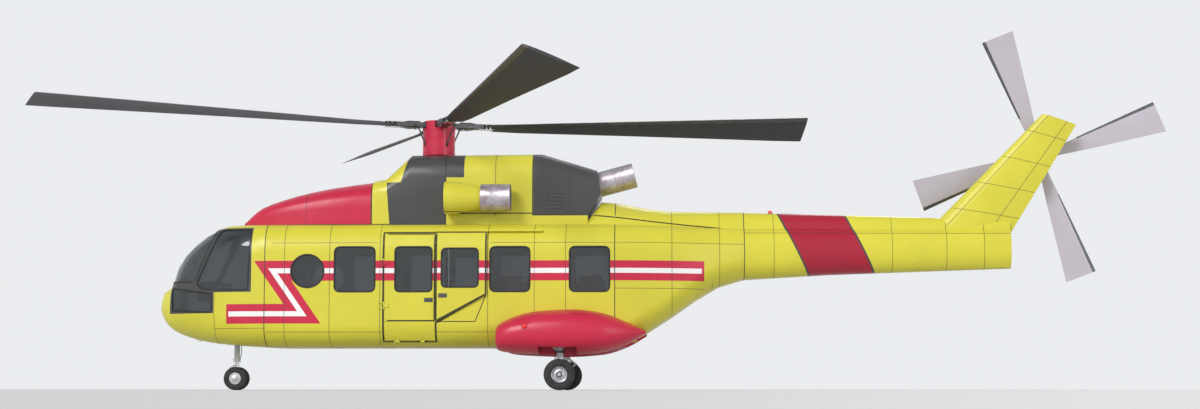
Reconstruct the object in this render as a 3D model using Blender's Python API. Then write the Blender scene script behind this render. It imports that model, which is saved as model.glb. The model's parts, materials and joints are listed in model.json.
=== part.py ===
# A three-engined search-and-rescue transport helicopter, parked on its wheels.
# Stations run aft from the nose tip in metres, heights run up from the ground,
# and +Y is the starboard side. The hull datum puts the middle of the whole
# helicopter, rotor blades included, over the world origin.
import math

import bmesh
import bpy
from mathutils import Matrix, Vector

# Driving dimensions
FIT = 0.0003
FLAT = 0.00001
RUNNING = 0.008
DATUM_X = -9.687
BELLY = 0.90
ROOF = 3.456
BEAM = 1.40
NOSE_JOINT = 2.45
REAR_JOINT = 9.72
BOOM_JOINT = 12.43
BOOM_END = 18.07
DECK_END = 9.14
NOSE_WALL = 0.05
CABIN_WALL = 0.06
REAR_WALL = 0.05
BOOM_WALL = 0.04
COWL_WALL = 0.04

FLOOR_TOP = 1.38
FLOOR_DEPTH = 0.05
FLOOR_HALF = 1.335
CARGO_FLOOR = ((2.75, -0.80), (9.55, 0.80))
CARGO_FLOOR_RISE = 0.006

MAST_X = 5.911
HEAD_Z = 5.66
MAST_TURN = 18.0
ROTOR_RADIUS = 8.5
ARM_REACH = 0.95

TAIL_ROTOR_X = 18.815
TAIL_ROTOR_Z = 5.018
TAIL_ROTOR_RADIUS = 2.73
TAIL_TURN = 21.0

NOSE_GEAR_X = 1.62
NOSE_WHEEL_RADIUS = 0.2475
MAIN_GEAR_X = 8.60
MAIN_WHEEL_RADIUS = 0.32
MAIN_WHEEL_Y = 1.93

# Hull lines, each a list of (station, value)
TOP_LINE = [(0.0, 1.80), (0.09, 2.06), (0.30, 2.18), (0.46, 2.657), (0.85, 3.083), (1.18, 3.30),
            (1.51, 3.42), (1.75, ROOF), (DECK_END, ROOF), (DECK_END + 0.0006, 3.60), (9.41, 4.00),
            (10.83, 3.80), (BOOM_JOINT, 3.77), (BOOM_END, 3.598)]
DECK_LINE = [(0.0, 1.80), (0.09, 2.06), (0.30, 2.18), (0.46, 2.657), (0.85, 3.083), (1.18, 3.30),
             (1.51, 3.42), (1.75, ROOF), (DECK_END, ROOF), (BOOM_JOINT, 3.40), (BOOM_END, 3.38)]
KEEL_LINE = [(0.0, 1.66), (0.12, 1.44), (0.355, 1.237), (0.80, 1.08), (1.243, 0.989), (1.8, 0.94),
             (2.31, 0.912), (2.6, BELLY), (9.55, BELLY), (9.9, 0.97), (10.38, 1.22),
             (BOOM_JOINT, 2.338), (BOOM_END, 2.569)]
SIDE_LINE = [(0.0, 0.12), (0.09, 0.38), (0.3, 0.64), (0.6, 0.87), (1.0, 1.07), (1.5, 1.24),
             (2.0, 1.345), (2.6, BEAM), (REAR_JOINT, BEAM), (10.8, 1.24), (11.6, 0.96),
             (BOOM_JOINT, 0.66), (14.2, 0.50), (BOOM_END, 0.27)]
ROOF_SHARE = [(0.0, 0.5), (2.6, 0.68), (REAR_JOINT, 0.68), (BOOM_JOINT, 0.5), (BOOM_END, 0.5)]
SHOULDER_SHARE = [(0.0, 0.5), (1.0, 0.38), (2.6, 0.235), (REAR_JOINT, 0.235), (BOOM_JOINT, 0.40),
                  (BOOM_END, 0.45)]
KEEL_SIDE_SHARE = [(0.0, 0.8), (2.6, 0.36), (REAR_JOINT, 0.36), (BOOM_JOINT, 0.7), (BOOM_END, 0.7)]
KEEL_RISE_SHARE = [(0.0, 0.45), (1.0, 0.3), (2.6, 0.176), (REAR_JOINT, 0.176), (BOOM_JOINT, 0.40),
                   (BOOM_END, 0.45)]
ROOF_STEPS = 4
SHOULDER_STEPS = 5
KEEL_STEPS = 4

NOSE_STATIONS = [0.0, 0.04, 0.10, 0.20, 0.30, 0.46, 0.64, 0.85, 1.1, 1.35, 1.6, 2.0]
CABIN_STATIONS = [2.6, DECK_END, DECK_END + 0.0006, 9.41]
REAR_STATIONS = [9.95, 10.4, 10.9, 11.4, 11.9]
BOOM_STATIONS = [14.2, 16.1]

# Windows and doors, as (station, height) outlines on the hull side
ROUND_WINDOW = (3.337, 2.462, 0.335)
WINDOW_SILL = 2.04
WINDOW_HEAD = 2.955
FORWARD_WINDOW = (3.91, 4.735)
AFT_WINDOWS = [(7.14, 7.95), (8.79, 9.60)]
DOOR_FRONT = 4.935
DOOR_SPLIT = 6.0
DOOR_REAR = 7.03
DOOR_SILL = 1.415
DOOR_HEAD = 3.25
DOOR_REAR_SILL = 1.98
STEP_FOOT = 1.02
SLIDE_LAP = 0.035
RAIL_REAR = 8.22

# Lamps: place as (station, Y, height), direction, radius and how far they stand proud
LAMP_FOOT = 0.03
LANDING_LAMP = ((0.80, 0.0, 1.08), (-0.3, 0.0, -1.0), 0.085, 0.04)
TAIL_LAMP = ((BOOM_END, 0.0, 2.95), (1.0, 0.0, 0.0), 0.035, 0.025)
BEACON = ((13.0, 0.0, 3.75), (0.0, 0.0, 1.0), 0.05, 0.06)
POSITION_LAMP = (7.90, 2.222, 1.30)
POSITION_LAMP_SIZE = (0.045, 0.03)

PAINTS = {
    "yellow_paint": ((0.86, 0.72, 0.06), 0.35, 0.0),
    "red_paint": ((0.62, 0.02, 0.06), 0.35, 0.0),
    "red_composite": ((0.62, 0.02, 0.06), 0.35, 0.0),
    "black_paint": ((0.035, 0.035, 0.037), 0.45, 0.0),
    "blade_composite": ((0.05, 0.05, 0.055), 0.5, 0.0),
    "tail_blade_composite": ((0.55, 0.52, 0.56), 0.4, 0.0),
    "exhaust_metal": ((0.50, 0.46, 0.50), 0.4, 0.9),
    "gear_steel": ((0.75, 0.76, 0.78), 0.3, 0.8),
    "wheel_alloy": ((0.6, 0.61, 0.62), 0.4, 0.9),
    "tyre_rubber": ((0.02, 0.02, 0.02), 0.85, 0.0),
    "tinted_glass": ((0.02, 0.022, 0.025), 0.05, 0.0),
    "cabin_grey": ((0.30, 0.32, 0.33), 0.6, 0.0),
    "panel_black": ((0.03, 0.03, 0.03), 0.7, 0.0),
    "seat_fabric": ((0.10, 0.12, 0.14), 0.9, 0.0),
    "bench_fabric": ((0.45, 0.09, 0.05), 0.9, 0.0),
}


def clear_scene():
    for old in list(bpy.data.objects):
        bpy.data.objects.remove(old, do_unlink=True)


def make_materials():
    made = {}
    for name, (colour, roughness, metallic) in PAINTS.items():
        material = bpy.data.materials.new(name)
        material.use_nodes = True
        shader = material.node_tree.nodes["Principled BSDF"]
        shader.inputs["Base Color"].default_value = (*colour, 1.0)
        shader.inputs["Roughness"].default_value = roughness
        shader.inputs["Metallic"].default_value = metallic
        made[name] = material
    return made


clear_scene()
MATERIALS = make_materials()


def make_empty(name, place, parent=None):
    empty = bpy.data.objects.new(name, None)
    bpy.context.collection.objects.link(empty)
    empty.parent = parent
    empty.location = place
    return empty


DATUM = make_empty("hull_datum", (DATUM_X, 0.0, 0.0))


# Basic solids. Meshes are written in hull stations; a moving piece takes its
# carrier's axis as its own origin.
def add_object(name, verts, faces, paint=None, carrier=None, sharp=35.0):
    mesh = bpy.data.meshes.new(name)
    origin = Vector(carrier.location) if carrier else Vector()
    mesh.from_pydata([Vector(v) - origin for v in verts], [], split_twisted(verts, faces))
    work = bmesh.new()
    work.from_mesh(mesh)
    bmesh.ops.recalc_face_normals(work, faces=work.faces)
    work.to_mesh(mesh)
    work.free()
    mesh.shade_smooth()
    mesh.set_sharp_from_angle(angle=math.radians(sharp))
    obj = bpy.data.objects.new(name, mesh)
    bpy.context.collection.objects.link(obj)
    obj.parent = carrier if carrier else DATUM
    if paint:
        mesh.materials.append(MATERIALS[paint])
    else:
        obj.hide_render = True
        obj.display_type = "WIRE"
    return obj


def shape(obj, tool, operation="DIFFERENCE"):
    step = obj.modifiers.new(operation.lower(), "BOOLEAN")
    step.operation = operation
    step.solver = "EXACT"
    step.object = tool
    return obj


def side_faces(start, count, ring_count):
    faces = []
    for ring in range(ring_count - 1):
        for i in range(count):
            a = start + ring * count + i
            b = start + ring * count + (i + 1) % count
            faces.append((a, b, b + count, a + count))
    return faces


def split_twisted(verts, faces):
    # Cuts each twisted four-sided face along its first diagonal, so that
    # neighbouring skins bend along the same lines.
    kept = []
    for face in faces:
        if len(face) == 4:
            a, b, c, d = (Vector(verts[i]) for i in face)
            normal = (b - a).cross(c - a)
            if normal.length > 0 and abs(normal.normalized().dot(d - a)) > FLAT:
                kept += [(face[0], face[1], face[2]), (face[0], face[2], face[3])]
                continue
        kept.append(face)
    return kept


def loft(name, rings, paint=None, carrier=None, sharp=35.0):
    count = len(rings[0])
    verts = [v for ring in rings for v in ring]
    last = count * (len(rings) - 1)
    faces = side_faces(0, count, len(rings))
    faces.append(tuple(range(count)))
    faces.append(tuple(range(last, last + count)))
    return add_object(name, verts, faces, paint, carrier, sharp)


def shell(name, outer, inner, open_front, open_rear, paint=None, carrier=None, sharp=35.0):
    count = len(outer[0])
    verts = [v for ring in outer + inner for v in ring]
    inner_start = count * len(outer)
    faces = side_faces(0, count, len(outer)) + side_faces(inner_start, count, len(inner))
    ends = [(open_front, 0, inner_start),
            (open_rear, inner_start - count, len(verts) - count)]
    for is_open, a, b in ends:
        if is_open:
            for i in range(count):
                j = (i + 1) % count
                faces.append((a + i, a + j, b + j, b + i))
        else:
            faces.append(tuple(range(a, a + count)))
            faces.append(tuple(range(b, b + count)))
    return add_object(name, verts, faces, paint, carrier, sharp)


def prism(name, outline, y_low, y_high, paint=None, carrier=None):
    rings = [[(x, y, z) for x, z in outline] for y in (y_low, y_high)]
    return loft(name, rings, paint, carrier)


def box(name, low, high, paint=None, carrier=None):
    outline = [(low[0], low[2]), (high[0], low[2]), (high[0], high[2]), (low[0], high[2])]
    return prism(name, outline, low[1], high[1], paint, carrier)


def sides_of(axis):
    # Two directions square to an axis and to each other.
    helper = Vector((0.0, 0.0, 1.0)) if abs(axis.z) < 0.9 else Vector((1.0, 0.0, 0.0))
    across = axis.cross(helper).normalized()
    return across, axis.cross(across).normalized()


def turned(name, start, direction, profile, segments=24, paint=None, carrier=None, sharp=35.0):
    # The profile lists (distance along the direction, radius) round a closed outline.
    axis = Vector(direction).normalized()
    across, up = sides_of(axis)
    rings = []
    for step in range(segments):
        angle = 2.0 * math.pi * step / segments
        outward = across * math.cos(angle) + up * math.sin(angle)
        rings.append([Vector(start) + axis * along + outward * radius for along, radius in profile])
    count = len(profile)
    verts = [v for ring in rings for v in ring]
    faces = side_faces(0, count, segments)
    last = count * (segments - 1)
    for i in range(count):
        j = (i + 1) % count
        faces.append((last + i, last + j, j, i))
    return add_object(name, verts, faces, paint, carrier, sharp)


def spindle(name, start, direction, profile, segments=16, paint=None, carrier=None):
    # Round rings at (distance along the direction, radius), closed by a flat at each end.
    axis = Vector(direction).normalized()
    across, up = sides_of(axis)
    rings = []
    for along, radius in profile:
        ring = []
        for step in range(segments):
            angle = 2.0 * math.pi * step / segments
            ring.append(Vector(start) + axis * along
                        + (across * math.cos(angle) + up * math.sin(angle)) * radius)
        rings.append(ring)
    return loft(name, rings, paint, carrier)


def rod(name, start, end, radius, segments=16, paint=None, carrier=None):
    axis = Vector(end) - Vector(start)
    return spindle(name, start, axis, [(0.0, radius), (axis.length, radius)], segments, paint, carrier)


def lamp(name, place, direction, radius, rise):
    # A low round lamp on a skin, its foot sunk into the wall.
    profile = [(-LAMP_FOOT, radius), (0.0, radius), (0.6 * rise, 0.8 * radius), (rise, 0.4 * radius)]
    return spindle(name, place, direction, profile)


def joined(base, tools):
    for tool in tools:
        shape(base, tool, "UNION")
    return base


def rounded(outline, radius, steps=3):
    # Rounds every corner of an outline with a quadratic curve.
    points = []
    total = len(outline)
    for i in range(total):
        before = Vector(outline[i - 1])
        corner = Vector(outline[i])
        after = Vector(outline[(i + 1) % total])
        start = corner + (before - corner).normalized() * radius
        end = corner + (after - corner).normalized() * radius
        for step in range(steps + 1):
            t = step / steps
            point = start * (1 - t) ** 2 + corner * 2 * t * (1 - t) + end * t ** 2
            points.append((point.x, point.y))
    return points


def inset(outline, distance):
    # Moves each corner of a convex outline inward by a distance from both its sides.
    centre = sum((Vector(p) for p in outline), Vector((0.0, 0.0))) / len(outline)
    moved = []
    total = len(outline)
    for i in range(total):
        before = Vector(outline[i - 1])
        corner = Vector(outline[i])
        after = Vector(outline[(i + 1) % total])
        normals = []
        for edge in (corner - before, after - corner):
            normal = Vector((-edge.y, edge.x)).normalized()
            if normal.dot(centre - corner) < 0:
                normal = -normal
            normals.append(normal)
        bisector = (normals[0] + normals[1]).normalized()
        moved.append(tuple(corner + bisector * distance / bisector.dot(normals[0])))
    return moved


def curve(points, x):
    # Monotone cubic through the points, flat beyond them.
    if x <= points[0][0]:
        return points[0][1]
    if x >= points[-1][0]:
        return points[-1][1]
    i = max(k for k in range(len(points) - 1) if points[k][0] <= x)

    def rise(k):
        return (points[k + 1][1] - points[k][1]) / (points[k + 1][0] - points[k][0])

    def slope(k):
        if k == 0:
            return rise(0)
        if k == len(points) - 1:
            return rise(k - 1)
        before = rise(k - 1)
        after = rise(k)
        return 0.0 if before * after <= 0 else 2 * before * after / (before + after)

    width = points[i + 1][0] - points[i][0]
    t = (x - points[i][0]) / width
    return ((1 + 2 * t) * (1 - t) ** 2 * points[i][1] + t * (1 - t) ** 2 * width * slope(i)
            + t * t * (3 - 2 * t) * points[i + 1][1] + t * t * (t - 1) * width * slope(i + 1))


# Hull sections: a roof or spine arch, a rounded shoulder, a flat side and a rounded keel
def hull_ring(x, grow=0.0):
    lean = min(1.0, max(0.0, (NOSE_JOINT - x) / 0.85))
    place = x + grow * lean
    top = curve(TOP_LINE, place)
    deck = curve(DECK_LINE, place)
    keel = curve(KEEL_LINE, place)
    side = curve(SIDE_LINE, place)
    roof = side * curve(ROOF_SHARE, place)
    shoulder = (deck - keel) * curve(SHOULDER_SHARE, place)
    keel_side = side * curve(KEEL_SIDE_SHARE, place)
    keel_rise = (deck - keel) * curve(KEEL_RISE_SHARE, place)
    half = []
    for step in range(ROOF_STEPS):
        angle = math.pi / 2 * step / ROOF_STEPS
        half.append(((roof + grow) * math.sin(angle), deck + grow + (top - deck) * math.cos(angle)))
    for step in range(SHOULDER_STEPS + 1):
        angle = math.pi / 2 * step / SHOULDER_STEPS
        half.append((roof + (side - roof + grow) * math.sin(angle),
                     deck - shoulder + (shoulder + grow) * math.cos(angle)))
    for step in range(KEEL_STEPS + 1):
        angle = math.pi / 2 * step / KEEL_STEPS
        half.append((side - keel_side + (keel_side + grow) * math.cos(angle),
                     keel + keel_rise - (keel_rise + grow) * math.sin(angle)))
    half.append((0.0, keel - grow))
    mirrored = [(-y, z) for y, z in half[-2:0:-1]]
    return [(x, y, z) for y, z in half + mirrored]


def hull_rings(stations, grow=0.0):
    return [hull_ring(x, grow) for x in stations]


def side_band(name, x_low, x_high, inner_grow, outer_grow, paint=None, carrier=None):
    inside = [x for x in NOSE_STATIONS + CABIN_STATIONS + REAR_STATIONS if x_low < x < x_high]
    stations = [x_low] + inside + [x_high]
    return shell(name, hull_rings(stations, outer_grow), hull_rings(stations, inner_grow),
                 True, True, paint, carrier)


# Side names give the sign of Y
SIDES = {"port": -1.0, "starboard": 1.0}


def side_prism(name, outline, side, inner_y=0.4, outer_y=3.0):
    low, high = sorted((SIDES[side] * inner_y, SIDES[side] * outer_y))
    return prism(name, outline, low, high)


def box_outline(x_low, x_high, z_low, z_high):
    return [(x_low, z_low), (x_high, z_low), (x_high, z_high), (x_low, z_high)]


def round_outline(x, z, radius, steps=20):
    return [(x + radius * math.cos(2 * math.pi * k / steps), z + radius * math.sin(2 * math.pi * k / steps))
            for k in range(steps)]


# Window and door outlines
WINDOW_CORNER = 0.12
SIDE_WINDOWS = {"forward": box_outline(*FORWARD_WINDOW, WINDOW_SILL, WINDOW_HEAD)}
for index, (front, rear) in enumerate(AFT_WINDOWS):
    SIDE_WINDOWS["aft_%d" % (index + 1)] = box_outline(front, rear, WINDOW_SILL, WINDOW_HEAD)
FRONT_DOOR_WINDOW = box_outline(5.17, 5.92, WINDOW_SILL, WINDOW_HEAD)
SLIDING_DOOR_WINDOW = box_outline(6.14, 6.885, 2.13, 2.92)

DOORWAY = [(DOOR_FRONT, DOOR_SILL), (DOOR_SPLIT + 0.04, DOOR_SILL), (DOOR_REAR, DOOR_REAR_SILL),
           (DOOR_REAR, DOOR_HEAD), (DOOR_FRONT, DOOR_HEAD)]
STEP_OPENING = box_outline(DOOR_FRONT, DOOR_SPLIT, STEP_FOOT - RUNNING, DOOR_SILL + 0.02)
FRONT_LEAF = box_outline(DOOR_FRONT + RUNNING, DOOR_SPLIT - RUNNING, DOOR_SILL + RUNNING,
                         DOOR_HEAD - RUNNING)
SLIDING_LEAF = [(DOOR_SPLIT + 0.005, DOOR_SILL), (DOOR_SPLIT + 0.03, DOOR_SILL),
                (DOOR_REAR + SLIDE_LAP, DOOR_REAR_SILL - 0.01),
                (DOOR_REAR + SLIDE_LAP, DOOR_HEAD + SLIDE_LAP),
                (DOOR_SPLIT + 0.005, DOOR_HEAD + SLIDE_LAP)]

SIDE_GLASS = [(1.45, 3.34), (2.12, 3.34), (2.08, 2.08), (1.12, 2.10), (0.95, 2.20)]
WINDSCREEN = [(1.33, 3.70), (1.31, 3.30), (1.18, 2.95), (0.90, 2.30), (0.28, 2.28), (-0.40, 2.28),
              (-0.40, 3.70)]
CHIN_GLASS = [(0.36, 2.13), (1.30, 2.00), (1.29, 1.63), (0.37, 1.665)]
CENTRE_POST = 0.045
CHIN_POST = 0.16


def cockpit_cutters(tag, shrink):
    cutters = []
    for side in SIDES:
        cutters.append(side_prism("cut_side_glass_%s_%s" % (tag, side),
                                  rounded(inset(SIDE_GLASS, shrink), 0.07), side))
        cutters.append(side_prism("cut_chin_glass_%s_%s" % (tag, side),
                                  rounded(inset(CHIN_GLASS, shrink), 0.05), side, CHIN_POST + shrink))
        cutters.append(side_prism("cut_windscreen_%s_%s" % (tag, side),
                                  inset(WINDSCREEN, shrink), side, CENTRE_POST + shrink))
    return cutters


# Airframe shells
NOSE_BAY = ((NOSE_GEAR_X - 0.30, -0.27, 0.7), (NOSE_GEAR_X + 0.42, 0.27, 1.2))


def make_nose():
    outer = NOSE_STATIONS + [NOSE_JOINT]
    inner = [x for x in outer if x >= 0.20]
    nose = shell("nose_section", hull_rings(outer), hull_rings(inner, -NOSE_WALL), False, True,
                 "yellow_paint")
    for cutter in cockpit_cutters("frame", 0.0):
        shape(nose, cutter)
    shape(nose, box("cut_nose_bay", *NOSE_BAY))
    joined(nose, [lamp("landing_lamp", *LANDING_LAMP)])


HINGE_OUT = 0.0145
HINGE_RADIUS = 0.014
HINGE_BARREL = 0.08
HINGE_COVER = 0.006
HINGE_LEAF = 0.10
PIN_SIDE = 0.004
TIE_INSET = 0.0005
SKIN_BITE = 0.01
DOOR_HINGE_HEIGHTS = (1.75, 2.65)


def make_hinge_blocks(side):
    # Fixed knuckles of the front door, outside the skin and tied to it.
    sign = SIDES[side]
    blocks = []
    for index, height in enumerate(DOOR_HINGE_HEIGHTS):
        for low in (height - HINGE_BARREL, height + HINGE_BARREL / 2 + FIT):
            name = "hinge_%s_%d_%.3f" % (side, index, low)
            high = low + HINGE_BARREL / 2 - FIT
            axis_y = sign * (BEAM + HINGE_OUT)
            barrel = rod(name, (DOOR_FRONT, axis_y, low), (DOOR_FRONT, axis_y, high), HINGE_RADIUS)
            edges = sorted((sign * (BEAM - SKIN_BITE), sign * (BEAM + HINGE_OUT + HINGE_COVER)))
            tie = box(name + "_tie", (DOOR_FRONT - HINGE_LEAF, edges[0], low + TIE_INSET),
                      (DOOR_FRONT - PIN_SIDE, edges[1], high - TIE_INSET))
            blocks += [barrel, tie]
    return blocks


RAIL_ROOT = 0.02
RAIL_OUT = 0.058
RAIL_DEPTH = 0.045


def make_cabin():
    stations = [NOSE_JOINT + FIT] + CABIN_STATIONS + [REAR_JOINT]
    cabin = shell("cabin_shell", hull_rings(stations), hull_rings(stations, -CABIN_WALL), True, True,
                  "yellow_paint")
    for side in SIDES:
        shape(cabin, side_prism("cut_doorway_" + side, DOORWAY, side))
        shape(cabin, side_prism("cut_round_" + side, round_outline(*ROUND_WINDOW), side))
        for label, outline in SIDE_WINDOWS.items():
            shape(cabin, side_prism("cut_%s_%s" % (label, side), rounded(outline, WINDOW_CORNER), side))
        rail = side_band("rail_band_" + side, DOOR_SPLIT, RAIL_REAR, -RAIL_ROOT, RAIL_OUT)
        rail_foot = DOOR_HEAD + SLIDE_LAP
        keep = box_outline(DOOR_FRONT, REAR_JOINT, rail_foot + FIT, rail_foot + RAIL_DEPTH)
        shape(rail, side_prism("keep_rail_" + side, keep, side), "INTERSECT")
        shape(cabin, rail, "UNION")
        joined(cabin, make_hinge_blocks(side))
    shape(cabin, side_prism("cut_step_port", STEP_OPENING, "port"))
    joined(cabin, make_step_hinge_blocks())


RAMP_FRONT = 10.05
RAMP_REAR = 11.75
RAMP_HALF = 0.72


def make_rear_fuselage():
    stations = [REAR_JOINT + FIT] + REAR_STATIONS + [BOOM_JOINT]
    rear = shell("rear_fuselage", hull_rings(stations), hull_rings(stations, -REAR_WALL), True, True,
                 "yellow_paint")
    shape(rear, box("cut_ramp", (RAMP_FRONT, -RAMP_HALF, 0.5), (RAMP_REAR, RAMP_HALF, 2.4)))
    joined(rear, make_ramp_hinge_blocks())


def make_tail_boom():
    outer = [BOOM_JOINT + FIT] + BOOM_STATIONS + [BOOM_END]
    inner = [BOOM_JOINT + FIT] + BOOM_STATIONS + [BOOM_END - BOOM_WALL]
    boom = shell("tail_boom", hull_rings(outer), hull_rings(inner, -BOOM_WALL), True, False, "yellow_paint")
    joined(boom, [lamp("beacon", *BEACON), lamp("tail_lamp", *TAIL_LAMP)])


# Tail fin with the tail rotor's gearbox boss
FIN_LEADING = [(16.33, 3.36), (18.815, 5.87)]
FIN_TRAILING = [(17.98, 3.13), (19.525, 5.64)]
FIN_THICKNESS = (0.36, 0.20)
FIN_STEPS = 10
TAIL_HUB_Y = 0.38


def foil(share, thickness):
    # Half thickness of a symmetric foil at a share of its chord.
    return 5 * thickness * (0.2969 * math.sqrt(share) - 0.1260 * share - 0.3516 * share ** 2
                            + 0.2843 * share ** 3 - 0.1036 * share ** 4)


def foil_loop(steps=6):
    # Chord shares and sides round a foil, from the nose over one side and back.
    shares = [(1 - math.cos(math.pi * k / steps)) / 2 for k in range(steps + 1)]
    loop = [(share, 1.0) for share in shares]
    loop += [(share, -1.0) for share in shares[-2:0:-1]]
    return loop


def make_fin():
    rings = []
    for end, thickness in enumerate(FIN_THICKNESS):
        lead = Vector((FIN_LEADING[end][0], 0.0, FIN_LEADING[end][1]))
        trail = Vector((FIN_TRAILING[end][0], 0.0, FIN_TRAILING[end][1]))
        ring = []
        for share, sign in foil_loop(FIN_STEPS):
            point = lead.lerp(trail, share)
            half = foil(share, 1.0) * thickness
            ring.append((point.x, sign * half, point.z))
        rings.append(ring)
    fin = loft("tail_fin", rings, "yellow_paint", sharp=25.0)
    boom = loft("cut_boom", hull_rings([BOOM_JOINT] + BOOM_STATIONS + [BOOM_END + FIT], FIT))
    shape(fin, boom)
    boss = rod("fin_boss", (TAIL_ROTOR_X, 0.0, TAIL_ROTOR_Z), (TAIL_ROTOR_X, TAIL_HUB_Y, TAIL_ROTOR_Z),
               0.15, 20)
    shape(fin, boss, "UNION")


# Engine deck, engines and gearbox, under cowls that stand on the deck
COWL_SPLIT = 6.165
REAR_COWL_START = 8.0
COWL_HALF = 0.88
DECK_TOP = [(COWL_SPLIT, 3.47), (6.5, 3.50), (6.9, 3.65), (DECK_END, 3.65)]
COWL_TOP = [(4.60, 4.43), (4.86, 4.48), (5.39, 4.985), (8.17, 5.0), (9.32, 4.66), (9.45, 4.62)]
CUT_DROP = 0.1
FAIRING_TOP = [(1.80, 3.56), (2.17, 3.87), (2.73, 4.075), (3.25, 4.21), (3.85, 4.32), (4.60, 4.42)]
FAIRING_HALF = [(1.80, 0.30), (2.17, 0.56), (2.73, 0.74), (3.25, 0.83), (3.85, 0.89), (4.60, COWL_HALF)]
FAIRING_END = 4.60
FAIRING_STATIONS = [1.80, 1.86, 1.95, 2.06, 2.20, 2.40, 2.65, 2.95, 3.30, 3.70, 4.15]


def straight(points, x):
    for (x_a, z_a), (x_b, z_b) in zip(points, points[1:]):
        if x <= x_b:
            return z_a + (z_b - z_a) * max(0.0, (x - x_a) / (x_b - x_a))
    return points[-1][1]


def cowl_ring(x, base, top, half, wall=0.0, drop=0.0, square=0.55, steps=7):
    # An arch whose sides stand upright for part of their height.
    spring = base + (top - base) * 0.42
    points = [(half - wall, base - drop)]
    for step in range(steps + 1):
        angle = math.pi / 2 * step / steps
        points.append(((half - wall) * math.cos(angle) ** square,
                       spring + (top - wall - spring) * math.sin(angle) ** square))
    mirrored = [(-y, z) for y, z in points[-2::-1]]
    return [(x, y, z) for y, z in points + mirrored]


# Heavy blocks, each by its low and high corner
GEARBOX = ((5.42, -0.45, 3.46), (6.10, 0.45, 4.70))
GEARBOX_PLATE = ((4.9, -0.6, ROOF + FIT), (COWL_SPLIT + 0.05, 0.6, ROOF + 0.012))
SIDE_ENGINE = ((6.55, 0.20, 3.48), (7.80, 0.74, 4.32))
REAR_ENGINE = ((8.05, -0.30, 3.60), (9.05, 0.30, 4.45))


def make_deck():
    outline = [(COWL_SPLIT + FIT, ROOF + FIT)]
    outline += [(max(x, COWL_SPLIT + FIT), z) for x, z in DECK_TOP[:-1]]
    outline += [(DECK_END - FIT, DECK_TOP[-1][1]), (DECK_END - FIT, ROOF + FIT)]
    deck = prism("engine_deck", outline, -COWL_HALF, COWL_HALF, "yellow_paint")
    blocks = [box("gearbox_plate", *GEARBOX_PLATE), box("gearbox_block", *GEARBOX),
              box("engine_block_rear", *REAR_ENGINE)]
    (x_low, y_near, z_low), (x_high, y_far, z_high) = SIDE_ENGINE
    for side, sign in SIDES.items():
        y_low, y_high = sorted((sign * y_near, sign * y_far))
        blocks.append(box("engine_block_" + side, (x_low, y_low, z_low), (x_high, y_high, z_high)))
    joined(deck, blocks)


def make_forward_fairing():
    def ring(x, wall=0.0, drop=0.0):
        return cowl_ring(x, ROOF + FIT, curve(FAIRING_TOP, x), curve(FAIRING_HALF, x), wall, drop, 0.75)

    outer = [ring(x) for x in FAIRING_STATIONS + [FAIRING_END - FIT]]
    inner = [ring(x, COWL_WALL, CUT_DROP) for x in FAIRING_STATIONS[2:] + [FAIRING_END + CUT_DROP]]
    fairing = loft("forward_fairing", outer, "red_composite")
    shape(fairing, loft("cut_fairing", inner))


MAST_HOLE_RADIUS = 0.19


def make_mast_cowl():
    slopes = [x for x, top in COWL_TOP[:3]]
    outer = [cowl_ring(x, ROOF + FIT, straight(COWL_TOP, x), COWL_HALF) for x in slopes + [COWL_SPLIT]]
    inner_stations = [x + COWL_WALL for x in slopes] + [COWL_SPLIT + CUT_DROP]
    inner = [cowl_ring(x, ROOF + FIT, straight(COWL_TOP, x - COWL_WALL), COWL_HALF, COWL_WALL, CUT_DROP)
             for x in inner_stations]
    cowl = loft("mast_cowl", outer, "black_paint")
    shape(cowl, loft("cut_mast_cowl", inner))
    shape(cowl, rod("cut_mast_hole", (MAST_X, 0.0, 4.8), (MAST_X, 0.0, 5.1), MAST_HOLE_RADIUS, 24))


EXHAUST_Y = 1.172
EXHAUST_Z = 4.00
CONE_END = 6.92
CONE_PROFILE = [(0.0, 0.34), (0.25, 0.335), (0.5, 0.28), (CONE_END - COWL_SPLIT - FIT, 0.23)]


def make_engine_cowl():
    slopes = [x for x, top in DECK_TOP[1:3]]
    outer = [cowl_ring(x, straight(DECK_TOP, x) + FIT, straight(COWL_TOP, x), COWL_HALF)
             for x in [COWL_SPLIT + FIT] + slopes + [REAR_COWL_START - FIT]]
    inner = [cowl_ring(x, straight(DECK_TOP, x) + FIT, straight(COWL_TOP, x), COWL_HALF, COWL_WALL,
                       2 * CUT_DROP)
             for x in [COWL_SPLIT - CUT_DROP] + slopes + [REAR_COWL_START + CUT_DROP]]
    cowl = loft("engine_cowl", outer, "yellow_paint")
    for side, sign in SIDES.items():
        start = (COWL_SPLIT + FIT, sign * EXHAUST_Y, EXHAUST_Z)
        joined(cowl, [spindle("exhaust_cone_" + side, start, (1, 0, 0), CONE_PROFILE, 20)])
    shape(cowl, loft("cut_engine_cowl", inner))


REAR_END = [(9.32, 4.66), (9.41, 4.13), (9.147, 3.66)]
REAR_PIPE_START = Vector((9.30, 0.0, 4.36))
REAR_PIPE_TILT = 15.0
REAR_PIPE_RADIUS = 0.265
LOUVRE_SPAN = (8.28, 8.64)
LOUVRE_FOOT = 3.80
LOUVRE_STEP = 0.08
LOUVRE_COUNT = 5
LOUVRE_LIP = 0.014
LOUVRE_RISE = 0.10


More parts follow.
